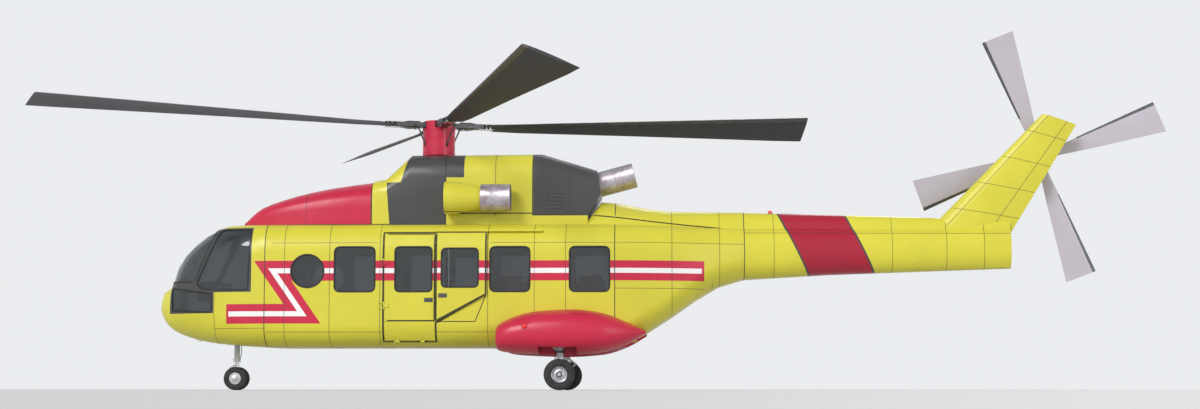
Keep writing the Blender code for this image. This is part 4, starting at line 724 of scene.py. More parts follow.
def window_seals():
    seals = Bundle()
    for side in SIDES:
        windows = [rounded(grown(rectangle(a, b, WINDOW_SILL, WINDOW_HEAD), WINDOW_LAP), WINDOW_CORNER)
                   for a, b in CABIN_WINDOWS]
        station, height, radius = ROUND_WINDOW
        reach = radius + WINDOW_LAP
        windows.append([(station + reach * c, height + reach * s) for c, s in circle(40)])
        windows.append(rounded(grown(SIDE_GLASS, WINDOW_LAP), 0.07))
        windows.append(rounded(grown(CHIN_GLASS, WINDOW_LAP), 0.05))
        for outline in windows:
            bead(seals, side_path(HULL_TREE, side, outline, 0.2), SEAL, SEAL_HEIGHT, True)
    seals.piece("window_seals", "rubber")
    for side in SIDES:
        for leaf, outline in LEAF_WINDOWS.items():
            ring = Bundle()
            points = rounded(grown(outline, WINDOW_LAP), 0.10)
            bead(ring, side_path(LEAF_TREES[leaf + side], side, points), SEAL, SEAL_HEIGHT, True)
            ring.piece(leaf + side + "_window_seal", "rubber", leaf + side)


def windscreen_seals():
    seals = Bundle()
    sill = []
    centre = Vector((station_x(1.0), 0.0, 2.262))
    for step in range(49):
        angle = math.radians(90.0 + 180.0 * step / 48)
        outward = Vector((math.cos(angle), math.sin(angle), 0.0))
        found = cast(HULL_TREE, centre + outward * 4.0, -outward)
        if found and found[0].x < station_x(0.93):
            sill.append(found)
    bead(seals, sill, SEAL, SEAL_HEIGHT)
    for side, sign in SIDES.items():
        rear = [(0.915, 2.285), (1.195, 2.945), (1.327, 3.285)]
        bead(seals, side_path(HULL_TREE, side, rear, 0.2, 0.05, False), SEAL, SEAL_HEIGHT)
        top = [cast(HULL_TREE, (station_x(1.345), sign * (0.06 + 0.055 * step), 6.0), (0, 0, -1))
               for step in range(11)]
        bead(seals, top, SEAL, SEAL_HEIGHT)
        post = [cast(HULL_TREE, (station_x(0.33 + t) - 2.0, sign * 0.030, 4.30 + 1.10 * t), (1, 0, -1))
                for t in (step / 24 for step in range(25))]
        bead(seals, post, SEAL * 0.8, SEAL_HEIGHT)
    seals.piece("windscreen_seals", "rubber")


def door_seals():
    seals = Bundle()
    edge = SEAL * 0.5
    for side in SIDES:
        bead(seals, side_path(HULL_TREE, side, grown(DOORWAY, edge), 0.8), SEAL, SEAL_HEIGHT, True)
    front, sill = DOORWAY[0]
    step = rectangle(front - edge, STEP_REAR + edge, STEP_FOOT - 0.02, sill)
    step = [step[3]] + step[:3]
    bead(seals, side_path(HULL_TREE, "port", step, 0.8, 0.03, False), SEAL, SEAL_HEIGHT)
    for side in SIDES:
        panel = side_path(HULL_TREE, side, LOWER_PANEL, 0.8, 0.05, False)
        bead(seals, panel, SEAL * 0.6, SEAL_HEIGHT * 0.6)
    seals.piece("door_seals", "rubber")


def door_rims():
    # The front door's rim has three sides, which start and end short of the hinged edge.
    low, low_rear, high_rear, high = grown(FRONT_LEAF, -SEAL * 0.35)
    front = [(low[0] + HINGE_CLEAR, low[1]), low_rear, high_rear, (high[0] + HINGE_CLEAR, high[1])]
    for side in SIDES:
        for leaf, outline, width, closed in (("sliding_door_", grown(SLIDING_LEAF, -SEAL * 0.5), SEAL, True),
                                             ("front_door_", front, SEAL * 0.7, False)):
            rim = Bundle()
            path = side_path(LEAF_TREES[leaf + side], side, outline, closed=closed)
            bead(rim, path, width, SEAL_HEIGHT, closed)
            rim.piece(leaf + side + "_rim", "rubber", leaf + side)


# Seams: the lines in which planes cut the outer skins
PATH_STEP = 0.12
SEAM = 0.009
SEAM_HEIGHT = 0.0022


def section(node, point, normal, keep, is_outer):
    # Chained in order, as paths of (point, normal).
    work = merged_mesh(NODES[node].data)
    cut = bmesh.ops.bisect_plane(work, geom=work.verts[:] + work.edges[:] + work.faces[:], dist=0.00001,
                                 plane_co=point, plane_no=normal)
    links = {}
    for item in cut["geom_cut"]:
        if not isinstance(item, bmesh.types.BMEdge):
            continue
        outer = [f for f in item.link_faces if is_outer(f.calc_center_median(), f.normal)]
        middle = (item.verts[0].co + item.verts[1].co) / 2
        if not outer or not keep(middle) or item.calc_length() < 1e-5:
            continue
        for vert in item.verts:
            links.setdefault(vert.index, []).append((item, outer[0].normal.copy()))
    work.verts.ensure_lookup_table()
    work.verts.index_update()
    paths = chained(links)
    work.free()
    return paths


def chained(links):
    used = set()
    paths = []
    for start in sorted(links, key=lambda index: (len(links[index]) != 1, index)):
        if all(edge in used for edge, _ in links[start]):
            continue
        path = []
        index = start
        while True:
            onward = [(edge, normal) for edge, normal in links[index] if edge not in used]
            if not onward:
                break
            edge, normal = onward[0]
            used.add(edge)
            here = [v for v in edge.verts if v.index == index][0]
            there = edge.other_vert(here)
            if not path:
                path.append((here.co.copy(), normal))
            path[-1] = (path[-1][0], (path[-1][1] + normal).normalized())
            pieces = max(1, int(edge.calc_length() / PATH_STEP))
            for k in range(1, pieces + 1):
                path.append((here.co.lerp(there.co, k / pieces), normal))
            index = there.index
        if len(path) > 1:
            paths.append(path)
    return paths


def hull_outer(centre, normal):
    middle = max(centre.x, station_x(1.6))
    share = max(0.0, (centre.x - station_x(REAR_JOINT)) / (BOOM_END - REAR_JOINT))
    return normal.dot(centre - Vector((middle, 0.0, HULL_MIDDLE + 0.95 * share ** 0.5))) > 0.02


def cowl_outer(centre, normal):
    return normal.dot(centre - Vector((centre.x, 0.0, 3.5))) > 0.02


class Seams:
    # Seam lines and the rivets beside them.
    def __init__(self):
        self.lines = Bundle()
        self.rivets = Bundle()

    def lay(self, path, width=SEAM, offsets=(RIVET_OFFSET,), closed=False):
        bead(self.lines, path, width, SEAM_HEIGHT, closed, FLAT)
        for offset in offsets:
            rivet_row(self.rivets, path, offset, closed)

    def ring(self, node, station, width, outer, low=-10.0):
        for path in section(node, (station_x(station), 0, 0), (1, 0, 0), lambda p: p.z > low, outer):
            closed = (path[0][0] - path[-1][0]).length < 0.001
            self.lay(path[:-1] if closed else path, width, (-RIVET_OFFSET, RIVET_OFFSET), closed)

    def level(self, node, height, front, rear):
        def keep(point):
            return station_x(front) < point.x < station_x(rear)

        for path in section(node, (0, 0, height), (0, 0, 1), keep, hull_outer):
            self.lay(path)

    def pieces(self, lines_name, rivets_name, rivet_paint):
        self.lines.piece(lines_name, "sealant")
        self.rivets.piece(rivets_name, rivet_paint)


HULL_RINGS = {"nose_section": (2.445, 1.36), "cabin_shell": (2.86, 3.80, 4.85, 7.09, 8.05, 8.70, 9.715),
              "rear_fuselage": (10.9, 11.9, 12.425), "tail_boom": (13.05, 15.55, 16.7, 17.5)}
JOINT_RINGS = (2.445, 9.715, 12.425)
LEVELS = {"nose_section": ((1.28, 1.4, 2.44),),
          "cabin_shell": ((1.20, 2.5, 9.7), (3.05, 2.9, 4.85), (3.05, 7.1, 9.7)),
          "rear_fuselage": ((3.05, 9.73, 12.4), (2.10, 9.73, 11.7)), "tail_boom": ((3.30, 12.45, 18.05),)}


def hull_seams():
    seams = Seams()
    for node, stations in HULL_RINGS.items():
        for station in stations:
            seams.ring(node, station, 0.020 if station in JOINT_RINGS else 0.010, hull_outer)
    for node, levels in LEVELS.items():
        for level in levels:
            seams.level(node, *level)
    seams.pieces("hull_seams", "hull_rivets", "hull")


# The fin's edges as (station, height) from root to tip, as in the part
FIN_LEADING = ((16.33, 3.36), (18.815, 5.87))
FIN_TRAILING = ((17.98, 3.13), (19.525, 5.64))
FIN_RIBS = (0.20, 0.42, 0.64, 0.86)
FIN_SPARS = (0.16, 0.72)


def fin_seams():
    seams = Seams()
    front, rear = (tuple(Vector((station_x(x), 0.0, z)) for x, z in edge)
                   for edge in (FIN_LEADING, FIN_TRAILING))
    span = front[1] - front[0]

    def keep(point):
        along = (point - front[0]).dot(span.normalized())
        return 0.1 < along < span.length - 0.06 and abs(point.y) < 0.30

    def outer(centre, normal):
        return normal.y * centre.y > 0.0 and abs(normal.y) > 0.5

    lines = [(rear[0].lerp(rear[1], share), front[0].lerp(front[1], share)) for share in FIN_RIBS]
    lines = [(head, head - foot) for foot, head in lines]
    for share in FIN_SPARS:
        foot, head = (front[k].lerp(rear[k], share) for k in (0, 1))
        lines.append((foot, head - foot))
    for point, direction in lines:
        normal = Vector((0.0, 1.0, 0.0)).cross(direction).normalized()
        for path in section("tail_fin", point, normal, keep, outer):
            seams.lay(path)
    seams.pieces("fin_seams", "fin_rivets", "hull")


SPINE_EDGE = [(9.20, 3.66), (9.8, 3.60), (10.5, 3.52), (11.2, 3.455), (11.98, 3.40)]


def spine_seams():
    seams = Bundle()
    for side in SIDES:
        bead(seams, side_path(HULL_TREE, side, SPINE_EDGE, 0.1, 0.06, False), 0.03, 0.004)
    seams.piece("spine_edge", "rubber")


COWL_RINGS = (("forward_fairing", 3.2, 0.010), ("forward_fairing", 4.585, 0.03), ("mast_cowl", 6.15, 0.03),
              ("engine_cowl", 7.2, 0.010), ("engine_cowl", 7.985, 0.03), ("rear_cowl", 8.75, 0.010))
COWL_FEET = {"forward_fairing": ROOF + 0.012, "mast_cowl": ROOF + 0.012, "engine_cowl": 3.70,
             "rear_cowl": 3.665}


def cowl_details():
    seams = Seams()
    for node, station, wide in COWL_RINGS:
        seams.ring(node, station, wide, cowl_outer, 3.47)
    for node, height in COWL_FEET.items():
        middle = Vector((station_x(6.5), 0.0, height))
        for path in section(node, (0, 0, height), (0, 0, 1), lambda p: True,
                            lambda c, n: n.dot(c - middle) > 0.0 or abs(c.y) > 0.80):
            bead(seams.lines, path, 0.026, 0.005)
    seams.pieces("cowl_seams", "cowl_fasteners", "dark_steel")


def door_hardware():
    for side, sign in SIDES.items():
        for leaf, station, height, proud in (("front_door_", 5.86, 1.86, 0.0),
                                             ("sliding_door_", 6.16, 1.95, 0.053)):
            handle = Bundle()
            x = station_x(station)
            base = sign * (BEAM + proud)
            low, high = sorted((base - sign * 0.004, base + sign * 0.006))
            handle.box((x - 0.09, low, height - 0.045), (x + 0.09, high, height + 0.045), 0.003)
            out = base + sign * 0.022
            handle.tube([(x + along, y, height) for along, y in ((-0.07, base), (-0.06, out), (0.06, out),
                                                                 (0.07, base))], 0.008)
            handle.piece(leaf + side + "_handle", "dark_steel", leaf + side)


# Rotors. Blade stations: (radius, chord, thickness, pitch in degrees), as in the part.
SLANT_START = 7.9
MAIN_BLADE = [(ARM_REACH + 0.0003, 0.26, 0.10, 4.0), (1.25, 0.34, 0.085, 18.0), (1.8, 0.42, 0.055, 20.0),
              (4.5, 0.69, 0.075, 21.0), (SLANT_START, 1.06, 0.09, 22.0), (ROTOR_RADIUS, 1.10, 0.06, 22.0)]
TAIL_BLADE = [(0.10, 0.16, 0.09, 0.0), (0.45, 0.20, 0.06, 9.0), (1.2, 0.38, 0.05, 9.0),
              (TAIL_RADIUS, 0.70, 0.045, 8.0)]
CONING = math.tan(math.radians(2.4))
TIP_SLANT = 0.218
EDGE_RISE = 0.003
# Root bolts: distance out, half spacing and half length
ROOT_BOLTS = ((0.50, 0.10, 0.083), (0.63, 0.10, 0.083), (0.94, 0.055, 0.062), (1.03, 0.055, 0.062),
              (1.12, 0.055, 0.062))


def blade_ring(radius, chord, thickness, pitch, slant, lift, steps=12):
    tilt = math.radians(pitch)
    shares = [(1 - math.cos(math.pi * k / steps)) / 2 for k in range(steps + 1)]
    loop = [(share, 1.0) for share in shares] + [(share, -1.0) for share in shares[-2:0:-1]]
    ring = []
    for share, sign in loop:
        half = 5 * (0.2969 * math.sqrt(share) - 0.1260 * share - 0.3516 * share ** 2
                    + 0.2843 * share ** 3 - 0.1036 * share ** 4)
        along = (0.30 - share) * chord
        up = sign * half * thickness
        ring.append((radius + slant * (0.5 - share), along * math.cos(tilt) - up * math.sin(tilt),
                     along * math.sin(tilt) + up * math.cos(tilt) + lift))
    return ring


def leading_part(ring, count=3, grow=EDGE_RISE):
    # The nose of a foil ring, raised a little off the skin, its two ends sunk into the foil.
    total = len(ring)
    centre = sum((Vector(p) for p in ring), Vector()) / total
    strip = []
    for i in range(-count, count + 1):
        point = Vector(ring[i % total])
        tangent = Vector(ring[(i + 1) % total]) - Vector(ring[(i - 1) % total])
        normal = Vector((0.0, tangent.z, -tangent.y)).normalized()
        if normal.dot(point - centre) < 0.0:
            normal = -normal
        strip.append(point + normal * (grow if abs(i) < count else -grow))
    return strip


def between_stations(stations, radius):
    for a, b in zip(stations, stations[1:]):
        if radius <= b[0]:
            share = max(0.0, (radius - a[0]) / (b[0] - a[0]))
            return [a[k] + (b[k] - a[k]) * share for k in range(1, 4)]
    return list(stations[-1][1:])


def main_blade_rings():
    rings = []
    for radius in sorted({row[0] for row in MAIN_BLADE} | {0.45 * k for k in range(4, 18)}):
        slant = -TIP_SLANT * max(0.0, (radius - SLANT_START) / (ROTOR_RADIUS - SLANT_START))
        rings.append(blade_ring(radius, *between_stations(MAIN_BLADE, radius), slant,
                                (radius - ARM_REACH) * CONING))
    return rings


def main_rotor():
    head = Vector((station_x(MAST_X), 0.0, HEAD_Z))
    rings = main_blade_rings()
    for count in range(4):
        turn = Matrix.Rotation(math.radians(MAST_TURN + 90.0 * count), 3, "Z")

        def put(ring):
            return [head + turn @ Vector((x, -y, z)) for x, y, z in ring]

        name = "main_blade_%d" % (count + 1)
        blade = Bundle()
        blade.loft([put(ring) for ring in rings])
        blade.piece(name + "_skin", "blade", "main_rotor", 30.0, name)
        strip = Bundle()
        strip.loft([put(leading_part(ring)) for ring in rings[3:]])
        strip.piece(name + "_edge", "dark_steel", "main_rotor")
        root = Bundle()
        for along, across, reach in ROOT_BOLTS:
            lift = max(0.0, along - ARM_REACH) * CONING
            for sign in (-1.0, 1.0):
                ends = [head + turn @ Vector((along, sign * across, lift + end)) for end in (-reach, reach)]
                root.rod(*ends, 0.018, 8)
        for middle in (-0.053, 0.053):
            plate = Bundle()
            plate.box((0.86, -0.11, middle - 0.006), (1.18, 0.11, middle + 0.006), 0.003)
            root.add([head + turn @ v for v in plate.verts], plate.faces)
        root.piece("blade_root_%d" % (count + 1), "steel", "main_rotor")


FAIRING_RADIUS = 0.345
FAIRING_TOP = 5.7449
TOP_BOLT_CIRCLE = 0.25
BAND_HEIGHTS = (5.03, 5.38, 5.56)
BOLT_HEIGHTS = (5.06, 5.41, 5.53)


def mast_details():
    foot = Vector((station_x(MAST_X), 0.0, 0.0))
    bands = Bundle()
    for height in BAND_HEIGHTS:
        bands.lathe(foot + Vector((0, 0, height)), (0, 0, 1),
                    [(along, FAIRING_RADIUS + rise) for along, rise in
                     ((-0.012, -0.004), (-0.008, 0.004), (0.008, 0.004), (0.012, -0.004))], 48)
    bands.piece("mast_fairing_bands", "red", "main_rotor")
    bolts = Bundle()
    for c, s in circle(16):
        outward = Vector((c, s, 0.0))
        for height in BOLT_HEIGHTS:
            bolts.dome(foot + outward * FAIRING_RADIUS + Vector((0, 0, height)), outward, 0.010, 0.004)
    for c, s in circle(12):
        bolts.dome(foot + Vector((TOP_BOLT_CIRCLE * c, TOP_BOLT_CIRCLE * s, FAIRING_TOP)), (0, 0, 1), 0.012,
                   0.004)
    bolts.piece("mast_fairing_bolts", "dark_steel", "main_rotor")


TAIL_HUB = [(-0.1395, 0.0), (-0.1395, 0.15), (-0.12, 0.17), (0.07, 0.17), (0.098, 0.13), (0.0995, 0.0)]


def tail_rotor():
    centre = Vector((station_x(TAIL_ROTOR[0]), TAIL_ROTOR[1], TAIL_ROTOR[2]))
    blades = Bundle()
    edges = Bundle()
    fittings = Bundle()
    rings = []
    for radius in sorted({row[0] for row in TAIL_BLADE} | {0.3 * k for k in range(2, 9)}):
        ring = blade_ring(radius, *between_stations(TAIL_BLADE, radius), 0.0, 0.0)
        rings.append([(x, z, y) for x, y, z in ring])
    for count in range(4):
        turn = Matrix.Rotation(math.radians(TAIL_TURN + 90.0 * count), 3, "Y").inverted()

        def put(points):
            return [centre + turn @ Vector(p) for p in points]

        blades.loft([put(ring) for ring in rings])
        edges.loft([put(leading_part(ring)) for ring in rings[3:]])
        for radius in (0.26, 0.34, 0.42):
            for across in (-0.03, 0.05):
                fittings.rod(*put([(radius, -0.04, across), (radius, 0.04, across)]), 0.014, 8)
        fittings.rod(*put([(0.22, 0.06, 0.10), (0.06, 0.098, 0.04)]), 0.010, 8)
    blades.lathe(centre, (0, 1, 0), TAIL_HUB, 40)
    blades.piece("tail_rotor_skin", "lilac", "tail_rotor", 30.0, "tail_rotor")
    edges.piece("tail_rotor_edges", "dark_steel", "tail_rotor")
    for c, s in circle(8):
        fittings.dome(centre + Vector((0.12 * c, 0.08, 0.12 * s)), (0, 1, 0), 0.013, 0.008)
    fittings.piece("tail_rotor_fittings", "steel", "tail_rotor")


# Wheels and gear
GROOVE_DEPTH = 0.008
GROOVE_HALF = 0.006
# One side of the rim from the bore to the bead seat, as (distance out, radius)
RIM_SIDE = [(0.085, 0.0358), (0.085, 0.062), (0.060, 0.070), (0.050, 0.085), (0.048, 0.122), (0.075, 0.134),
            (0.098, 0.140), (0.108, 0.150), (0.110, 0.160)]
NOSE_CAP = [(-0.004, 0.0), (-0.004, 0.118), (0.004, 0.118), (0.0045, 0.100), (0.001, 0.095), (0.001, 0.060),
            (0.006, 0.050), (0.0065, 0.0)]


def tyre_profile(inner, radius, width, grooves):
    # A closed outline from one bead over the tread to the other bead.
    half = width / 2
    wall = [(-half * out, inner + (radius - inner) * up)
            for out, up in ((0.80, 0.0), (0.97, 0.18), (1.0, 0.45), (0.985, 0.62), (0.90, 0.84))]
    wall.append((-half * 0.76, radius - GROOVE_DEPTH))
    tread = []
    for centre in (place * half for place in grooves):
        for along, height in ((-1.0, 0.0008), (-0.7, GROOVE_DEPTH), (0.7, GROOVE_DEPTH), (1.0, 0.0008)):
            tread.append((centre + GROOVE_HALF * along, radius - height))
    return wall + tread + [(-a, r) for a, r in reversed(wall)]


def main_wheels():
    for side, sign in SIDES.items():
        body = "main_wheel_" + side
        centre = Vector((station_x(MAIN_GEAR_X), sign * MAIN_WHEEL_Y, MAIN_WHEEL_RADIUS))
        tyre = Bundle()
        tyre.lathe(centre, (0, 1, 0),
                   tyre_profile(0.1603, MAIN_WHEEL_RADIUS, 0.22, (-0.5, -0.17, 0.17, 0.5)), 72)
        tyre.piece("main_tyre_%s_tread" % side, "tyre", body, replaced="main_tyre_" + side)
        rim = Bundle()
        rim.lathe(centre, (0, 1, 0), [(-a, r) for a, r in RIM_SIDE] + RIM_SIDE[::-1], 64)
        rim.piece("main_rim_" + side, "alloy", body, replaced=body)
        bolts = Bundle()
        for c, s in circle(10):
            for face in (-1, 1):
                point = centre + Vector((0.103 * c, face * 0.049, 0.103 * s))
                bolts.rod(point, point + Vector((0, face * 0.012, 0)), 0.009, 6)
        bolts.piece("main_rim_bolts_" + side, "steel", body)
        cap = Bundle()
        cap.lathe(centre + Vector((0.0, sign * RIM_SIDE[0][0], 0.0)), (0, sign, 0),
                  [(0.0, 0.040), (0.0, 0.058), (0.018, 0.052), (0.030, 0.040)], 32)
        cap.piece("main_hub_cap_" + side, "dark_steel", body)
        nut = Bundle()
        for inner, outer, radius, sides in ((2.03, 2.062, 0.030, 6), (1.70, 1.80, 0.075, 32)):
            nut.rod((centre.x, sign * inner, centre.z), (centre.x, sign * outer, centre.z), radius, sides)
        nut.piece("main_axle_nut_" + side, "steel")


def nose_wheels():
    for side, sign in SIDES.items():
        centre = Vector((station_x(NOSE_GEAR_X), sign * 0.14, NOSE_WHEEL_RADIUS))
        tyre = Bundle()
        tyre.lathe(centre, (0, 1, 0), tyre_profile(0.1253, NOSE_WHEEL_RADIUS, 0.13, (-0.4, 0.0, 0.4)), 64)
        tyre.piece("nose_tyre_%s_tread" % side, "tyre", "nose_wheels", replaced="nose_tyre_" + side)
        face = Vector((centre.x, sign * 0.195, centre.z))
        cap = Bundle()
        cap.lathe(face, (0, sign, 0), NOSE_CAP, 40)
        for c, s in circle(8):
            point = face + Vector((0.078 * c, 0.0, 0.078 * s))
            cap.rod(point, point + Vector((0, sign * 0.008, 0)), 0.007, 6)
        cap.piece("nose_hub_" + side, "alloy", "nose_wheels")


# Brake hoses as offsets from the leg's axis: (aft, outboard, height)
NOSE_HOSE = ((0.07, 0.03, 1.15), (0.09, 0.04, 0.95), (0.085, 0.035, 0.78), (0.065, 0.02, 0.66))
MAIN_HOSE = ((-0.08, 0.0, 1.25), (-0.10, 0.02, 0.95), (-0.10, 0.03, 0.62), (-0.06, 0.06, 0.42))


def gear_details():
    x = station_x(NOSE_GEAR_X)
    leg_x = station_x(MAIN_GEAR_X)
    oleo = Bundle()
    oleo.rod((x, 0, 0.36), (x, 0, 0.5997), 0.0465, 32)
    oleo.piece("nose_oleo", "steel", "nose_steering")
    hoses = Bundle()
    hoses.tube([(x + aft, out, height) for aft, out, height in NOSE_HOSE], 0.008)
    for sign in SIDES.values():
        hoses.tube([(leg_x + aft, sign * (MAIN_LEG_Y + out), height)
                    for aft, out, height in MAIN_HOSE], 0.009)
    hoses.piece("brake_hoses", "rubber")
    for side, sign in SIDES.items():
        y = sign * MAIN_LEG_Y
        collars = Bundle()
        for height, depth in ((0.76, 0.05), (0.93, 0.03), (1.18, 0.04)):
            collars.rod((leg_x, y, height), (leg_x, y, height + depth), 0.082, 28)
        collars.piece("main_leg_collars_" + side, "dark_steel")
        chrome = Bundle()
        chrome.rod((leg_x, y, 0.50), (leg_x, y, 0.66), 0.0715, 32)
        chrome.piece("main_oleo_" + side, "steel")


# Exhaust pipes with a bead round the middle, and soot inside
PIPE_WALL = 0.018


def exhaust(name, start, axis, radius, length, foot, bead_at, plug):
    bore = radius - PIPE_WALL
    outline = [(0.0, 0.0)] + foot
    outline += [(bead_at, radius), (bead_at + 0.005, radius + 0.004), (bead_at + 0.025, radius + 0.004),
                (bead_at + 0.03, radius), (length - 0.03, radius), (length - 0.02, radius + 0.003),
                (length, radius), (length, bore), (0.03, bore), (0.03, 0.0)]
    pipe = Bundle()
    pipe.lathe(start, axis, outline, 64)
    pipe.piece(name + "_pipe", "exhaust", replaced=name)
    end = length - 0.10
    inside = Bundle()
    inside.lathe(start, axis, [(plug[0][0], 0.0)] + plug, 40)
    inside.lathe(start, axis, [(0.0305, plug[0][1]), (end, bore - 0.003), (end, bore - 0.001),
                               (0.0305, bore - 0.001)], 56)
    inside.piece(name + "_soot", "soot")


SIDE_PIPE = (6.9203, 1.172, 4.00)
SIDE_PIPE_RADIUS = 0.285
SIDE_PIPE_PLUG = [(0.032, 0.10), (0.10, 0.09), (0.24, 0.02), (0.25, 0.0)]
REAR_PIPE = (9.30, 0.0, 4.36)
REAR_PIPE_RADIUS = 0.265
REAR_PIPE_TILT = math.radians(15.0)
REAR_PIPE_PLUG = [(0.032, 0.12), (0.12, 0.10), (0.30, 0.02), (0.31, 0.0)]


def exhausts():
    station, out, height = SIDE_PIPE
    foot = [(0.0, SIDE_PIPE_RADIUS - 0.004), (0.01, SIDE_PIPE_RADIUS)]
    for side, sign in SIDES.items():
        exhaust("side_exhaust_" + side, (station_x(station), sign * out, height), (1, 0, 0),
                SIDE_PIPE_RADIUS, 0.62, foot, 0.22, SIDE_PIPE_PLUG)
    station, out, height = REAR_PIPE
    axis = (math.cos(REAR_PIPE_TILT), 0.0, math.sin(REAR_PIPE_TILT))
    exhaust("rear_exhaust", (station_x(station), out, height), axis,
            REAR_PIPE_RADIUS, 0.84, [(0.0, REAR_PIPE_RADIUS)], 0.42, REAR_PIPE_PLUG)


# Cushions
CLOTH_FRAMES = 20
PUFF_LIMIT = 0.012


def apply_modifiers(obj):
    deps = bpy.context.evaluated_depsgraph_get()
    made = bpy.data.meshes.new_from_object(obj.evaluated_get(deps))
    obj.modifiers.clear()
    obj.data = made


def swell(obj):
    cloth_run = obj.modifiers.new("cloth", "CLOTH")
    settings = cloth_run.settings
    settings.quality = 4
    settings.mass = 0.3
    settings.tension_stiffness = 22.0
    settings.compression_stiffness = 22.0
    settings.bending_stiffness = 1.2
    settings.use_pressure = True
    settings.uniform_pressure_force = 4.0
    settings.effector_weights.gravity = 0.0
    cloth_run.point_cache.frame_start = 1
    cloth_run.point_cache.frame_end = CLOTH_FRAMES
    for count in range(1, CLOTH_FRAMES + 1):
        bpy.context.scene.frame_set(count)
    apply_modifiers(obj)
    bpy.context.scene.frame_set(1)


def puffed_box(low, high, spacing, paint):
    # A cushion block: an even grid, swollen by a short cloth run.
    mesh = bpy.data.meshes.new("cushion_source")
    work = bmesh.new()
    bmesh.ops.create_cube(work, size=1.0)
    for vert in work.verts:
        for k in range(3):
            vert.co[k] = low[k] + (vert.co[k] + 0.5) * (high[k] - low[k])
    work.to_mesh(mesh)
    work.free()
    obj = linked("cushion_source", mesh)
    bpy.context.view_layer.objects.active = obj
    edge = obj.modifiers.new("round", "BEVEL")
    edge.width = 0.02
    edge.segments = 3
    grid = obj.modifiers.new("grid", "REMESH")
    grid.mode = "VOXEL"
    grid.voxel_size = spacing
    apply_modifiers(obj)
    rest = [v.co.copy() for v in obj.data.vertices]
    swell(obj)
    for vert, before in zip(obj.data.vertices, rest):
        move = vert.co - before
        if move.length > PUFF_LIMIT:
            vert.co = before + move * (PUFF_LIMIT / move.length)
    obj.data.materials.append(PAINTS[paint][1])
    obj.data.shade_smooth()
    return obj


def cushion_at(source, name, matrix, replaced=None):
    mesh = source.data.copy()
    mesh.transform(matrix)
    if matrix.determinant() < 0.0:
        mesh.flip_normals()
    obj = linked(name, mesh)
    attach(obj, "airframe")
    if replaced:
        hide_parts(replaced)


SEAT_X = 1.72
SEAT_Y = 0.52
SEAT_Z = 1.76
BACK_LEAN = math.atan2(0.093, 0.90)
BACK_HINGE = 0.475
SEAT_GRID = 0.012
# Blocks of a pilot's seat before its back leans: (aft from, aft to, half width, up from, up to)
SEAT_BLOCKS = {"pad": (0.015, 0.40, 0.20, 0.013, 0.105), "back": (0.415, BACK_HINGE, 0.195, 0.02, 0.70),
               "headrest": (0.415, BACK_HINGE, 0.13, 0.72, 0.89)}
# The harness from the headrest to the lap, as (aft, up)
HARNESS = ((0.5527, 0.72), (0.46886, 0.66), (0.4329, 0.35), (0.398, 0.14), (0.30, 0.119))


def pilot_cushions():
    x = station_x(SEAT_X)
    blocks = {}
    for label, (front, rear, half, low, high) in SEAT_BLOCKS.items():
        blocks[label] = puffed_box((x + front, -half, SEAT_Z + low), (x + rear, half, SEAT_Z + high),
                                   SEAT_GRID, "seat_cloth")
    hinge = Vector((x + BACK_HINGE, 0.0, SEAT_Z))
    lean = (Matrix.Translation(hinge) @ Matrix.Rotation(BACK_LEAN, 4, "Y") @ Matrix.Translation(-hinge))
    for side, sign in SIDES.items():
        middle = sign * SEAT_Y
        shift = Matrix.Translation((0.0, middle, 0.0))
        cushion_at(blocks["pad"], "pilot_pad_" + side, shift, "pilot_cushion_" + side)
        for label in ("back", "headrest"):
            cushion_at(blocks[label], "pilot_%s_%s" % (label, side), shift @ lean)
        belts = Bundle()
        for y in (middle - 0.09, middle + 0.09):
            belts.loft([[(px, y - 0.022, pz), (px, y + 0.022, pz), (px - 0.004, y + 0.022, pz + 0.002),
                         (px - 0.004, y - 0.022, pz + 0.002)]
                        for px, pz in ((x + aft, SEAT_Z + up) for aft, up in HARNESS)])
        belts.box((x + 0.26, middle - 0.035, SEAT_Z + 0.115), (x + 0.33, middle + 0.035, SEAT_Z + 0.132),
                  0.004)
        belts.piece("pilot_harness_" + side, "belt")
    for source in blocks.values():
        bpy.data.objects.remove(source, do_unlink=True)


BENCH_FRONT = 7.30
BENCH_REAR = 9.50
BENCH_Z = 1.78
BENCH_PLACES = 4
BENCH_GAP = 0.012
BENCH_GRID = 0.014
# Bench blocks: (out from, out to, up from, up to)
BENCH_BLOCKS = {"pad": (0.885, 1.225, 0.013, 0.078), "back": (1.255, 1.305, 0.10, 0.60)}


def bench_cushions():
    width = (BENCH_REAR - BENCH_FRONT - 0.04) / BENCH_PLACES
    x = station_x(BENCH_FRONT + 0.02)
    blocks = {}
    for label, (inner, outer, low, high) in BENCH_BLOCKS.items():
        blocks[label] = puffed_box((x + BENCH_GAP, inner, BENCH_Z + low),
                                   (x + width - BENCH_GAP, outer, BENCH_Z + high), BENCH_GRID, "bench_cloth")
    for side, sign in SIDES.items():
        mirror = Matrix.Scale(sign, 4, (0, 1, 0))
        for count in range(BENCH_PLACES):
            for label, source in blocks.items():
                replaced = "bench_cushion_" + side if label == "pad" and count == 0 else None
                cushion_at(source, "bench_%s_%s_%d" % (label, side, count + 1),
                           mirror @ Matrix.Translation((width * count, 0.0, 0.0)), replaced)
    for source in blocks.values():
        bpy.data.objects.remove(source, do_unlink=True)


# Pilot's controls as (aft, across, up from the floor) from station CONTROL_X: points and radius
CONTROL_X = 1.55
CONTROL_TUBES = ((((-0.10, 0.0, 0.001), (-0.06, 0.0, 0.2), (-0.02, 0.0, 0.45), (0.02, 0.0, 0.62)), 0.014),
                 (((0.02, 0.0, 0.60), (0.015, 0.0, 0.67), (-0.015, 0.0, 0.72)), 0.024),
                 (((0.42, -0.30, 0.12), (0.15, -0.30, 0.30), (-0.02, -0.30, 0.42)), 0.015))


